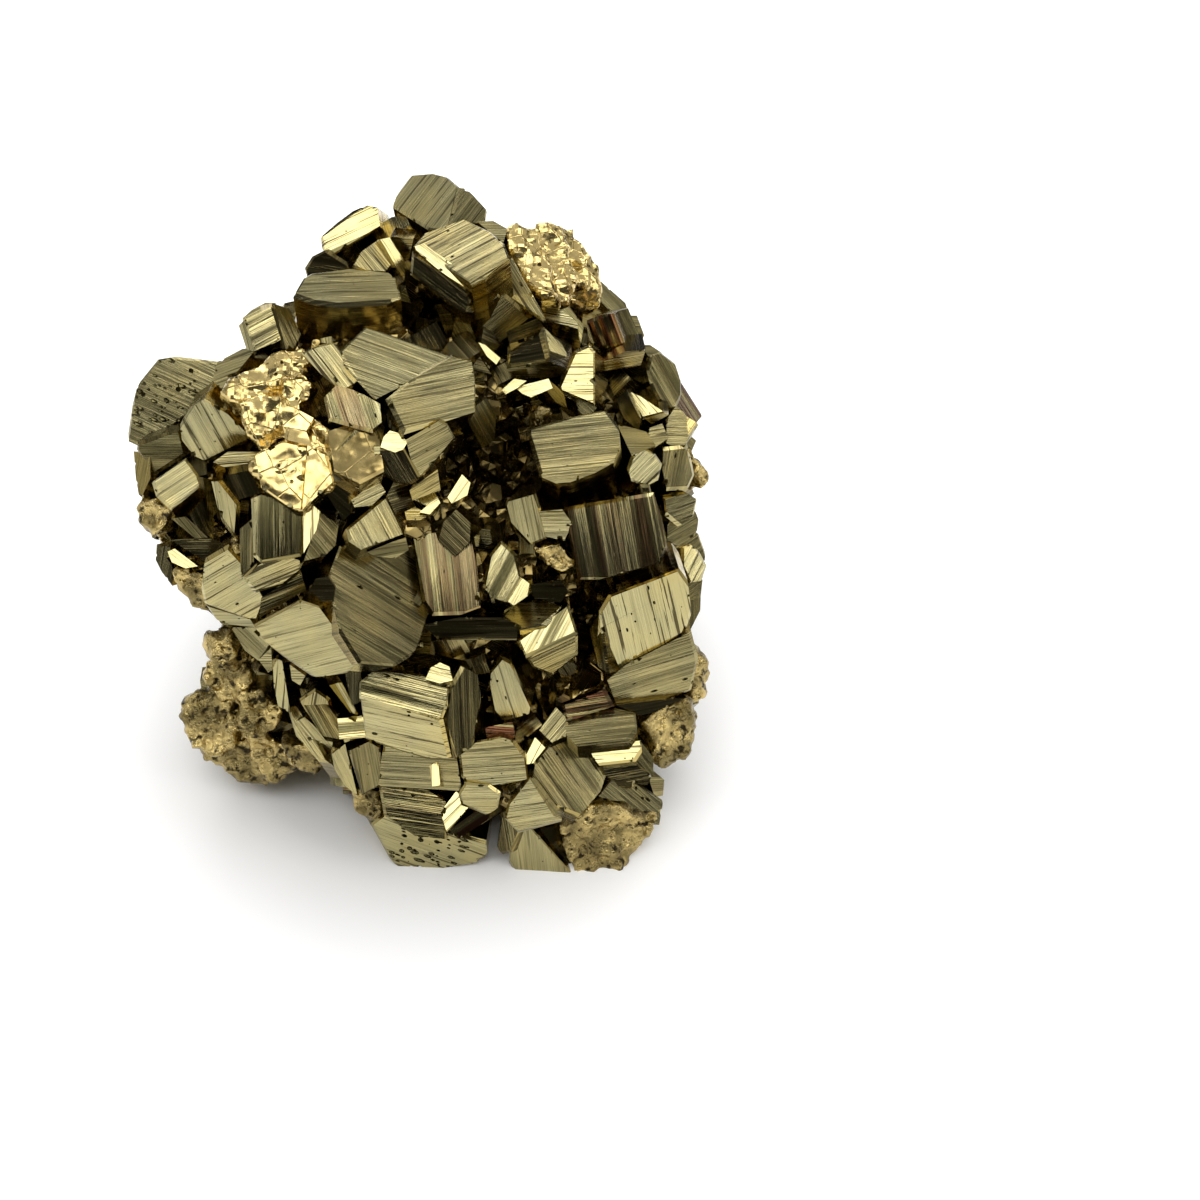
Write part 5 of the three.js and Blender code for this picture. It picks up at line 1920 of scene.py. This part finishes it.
@dataclass(frozen=True)
class SoftLight:
    """A soft light that points at the specimen.

    Its azimuth is clockwise from the back and its elevation up from level, in degrees. Its width
    and height are in metres, and its radiance is how bright its surface is.
    """

    name: str
    azimuth: float
    elevation: float
    width: float
    height: float
    radiance: float
    reach: float = 0.6
    target: float = 0.02

    def build(self) -> None:
        """Hang the light."""
        data = bpy.data.lights.new(self.name, "AREA")
        data.shape, data.size, data.size_y = "RECTANGLE", self.width, self.height
        data.energy = self.radiance * math.pi * self.width * self.height
        light = bpy.data.objects.new(self.name, data)
        bpy.context.scene.collection.objects.link(light)
        around, up = math.radians(self.azimuth), math.radians(self.elevation)
        way = Vector((math.sin(around) * math.cos(up), math.cos(around) * math.cos(up), math.sin(up)))
        light.location = way * self.reach + UP * self.target
        light.rotation_euler = way.to_track_quat("Z", "Y").to_euler()


@dataclass
class Studio:
    """A plain white floor, soft lights and the camera, in metres.

    The floor glows from the contact shadow's edge outwards, and more so where it is far away.
    """

    floor_size: float = 3.0
    paint: Colour = (0.9, 0.9, 0.9, 1.0)
    dullness: float = 0.9
    white: Colour = (1.0, 1.0, 1.0, 1.0)
    ambient: float = 0.08
    glow: float = 0.5
    shadow_edge: Pair = (0.016, 0.031)
    far_edge: Pair = (0.15, 0.6)
    lens: float = 51.66
    sensor: float = 36.0
    clip: Pair = (0.005, 20.0)
    lights: tuple[SoftLight, ...] = (
        SoftLight("front_high", 178.0, 60.0, 0.30, 0.26, 3.1),
        SoftLight("front_left", -128.0, 50.0, 0.26, 0.28, 3.1),
        SoftLight("right", 115.0, 42.0, 0.26, 0.28, 3.1),
        SoftLight("back", 5.0, 42.0, 0.70, 0.24, 3.6),
        SoftLight("ceiling", 0.0, 90.0, 0.90, 0.90, 0.55),
        SoftLight("left_panel", -85.0, 20.0, 0.75, 0.45, 0.50),
        SoftLight("right_panel", 85.0, 20.0, 0.75, 0.45, 0.50),
    )

    def floor(self) -> None:
        """Lay the plain pale floor."""
        floor = add_primitive("plane", size=self.floor_size)
        floor.name = "studio_floor"
        material, nodes = Nodes.of_material("studio_white")
        away = nodes.add("ShaderNodeVectorMath", operation="LENGTH")
        nodes.feed(nodes.add("ShaderNodeTexCoord").outputs["Object"], away.inputs[0])
        near = nodes.stretch(away.outputs["Value"], *self.shadow_edge, 0.0, self.glow)
        far = nodes.stretch(away.outputs["Value"], *self.far_edge)
        for name, value in (("Base Color", self.paint), ("Roughness", self.dullness),
                            ("Specular IOR Level", 0.0), ("Emission Color", self.white),
                            ("Emission Strength", nodes.math("MAXIMUM", near, far))):
            nodes.feed(value, nodes.shader.inputs[name])
        floor.data.materials.append(material)

    def backdrop(self) -> None:
        """Make what lies behind the floor white to the eye and dim to the specimen."""
        world = bpy.context.scene.world or bpy.data.worlds.new("studio")
        bpy.context.scene.world = world
        world.use_nodes = True
        nodes = Nodes(world.node_tree)
        seen = nodes.add("ShaderNodeLightPath").outputs["Is Camera Ray"]
        sky = world.node_tree.nodes["Background"]
        nodes.feed(self.white, sky.inputs["Color"])
        nodes.feed(nodes.stretch(seen, 0.0, 1.0, self.ambient, 1.0), sky.inputs["Strength"])

    def camera(self) -> None:
        """Set the camera at the eye point of the view."""
        data = bpy.data.cameras.new("camera")
        data.lens, data.sensor_width, data.sensor_fit = self.lens, self.sensor, "HORIZONTAL"
        data.clip_start, data.clip_end = self.clip
        camera = bpy.data.objects.new("camera", data)
        bpy.context.scene.collection.objects.link(camera)
        camera.location = VIEW.eye * MILLIMETRE
        camera.rotation_euler = VIEW.sight.to_track_quat("-Z", "Y").to_euler()
        bpy.context.scene.camera = camera

    def build(self) -> None:
        """Set the stage, the lights and the camera."""
        self.floor()
        for light in self.lights:
            light.build()
        self.backdrop()
        self.camera()
        bpy.context.scene.view_settings.view_transform = "Standard"


def main() -> None:
    """Build the specimen, then its stage."""
    logging.basicConfig(level=logging.INFO, format="%(name)s: %(message)s")
    for finish, dressed in ((Finish.CRYSTAL, CrystalFinish()), (Finish.CRUMBLY, CrumblyFinish()),
                            (Finish.HAMMERED, HammeredFinish()), (Finish.ROCK, RockFinish())):
        FINISHES[finish] = dressed.build()
    cluster = Cluster().build()
    log.info("%s: %d faces", cluster.name, len(cluster.data.polygons))
    Studio().build()


if __name__ == "__main__":
    main()
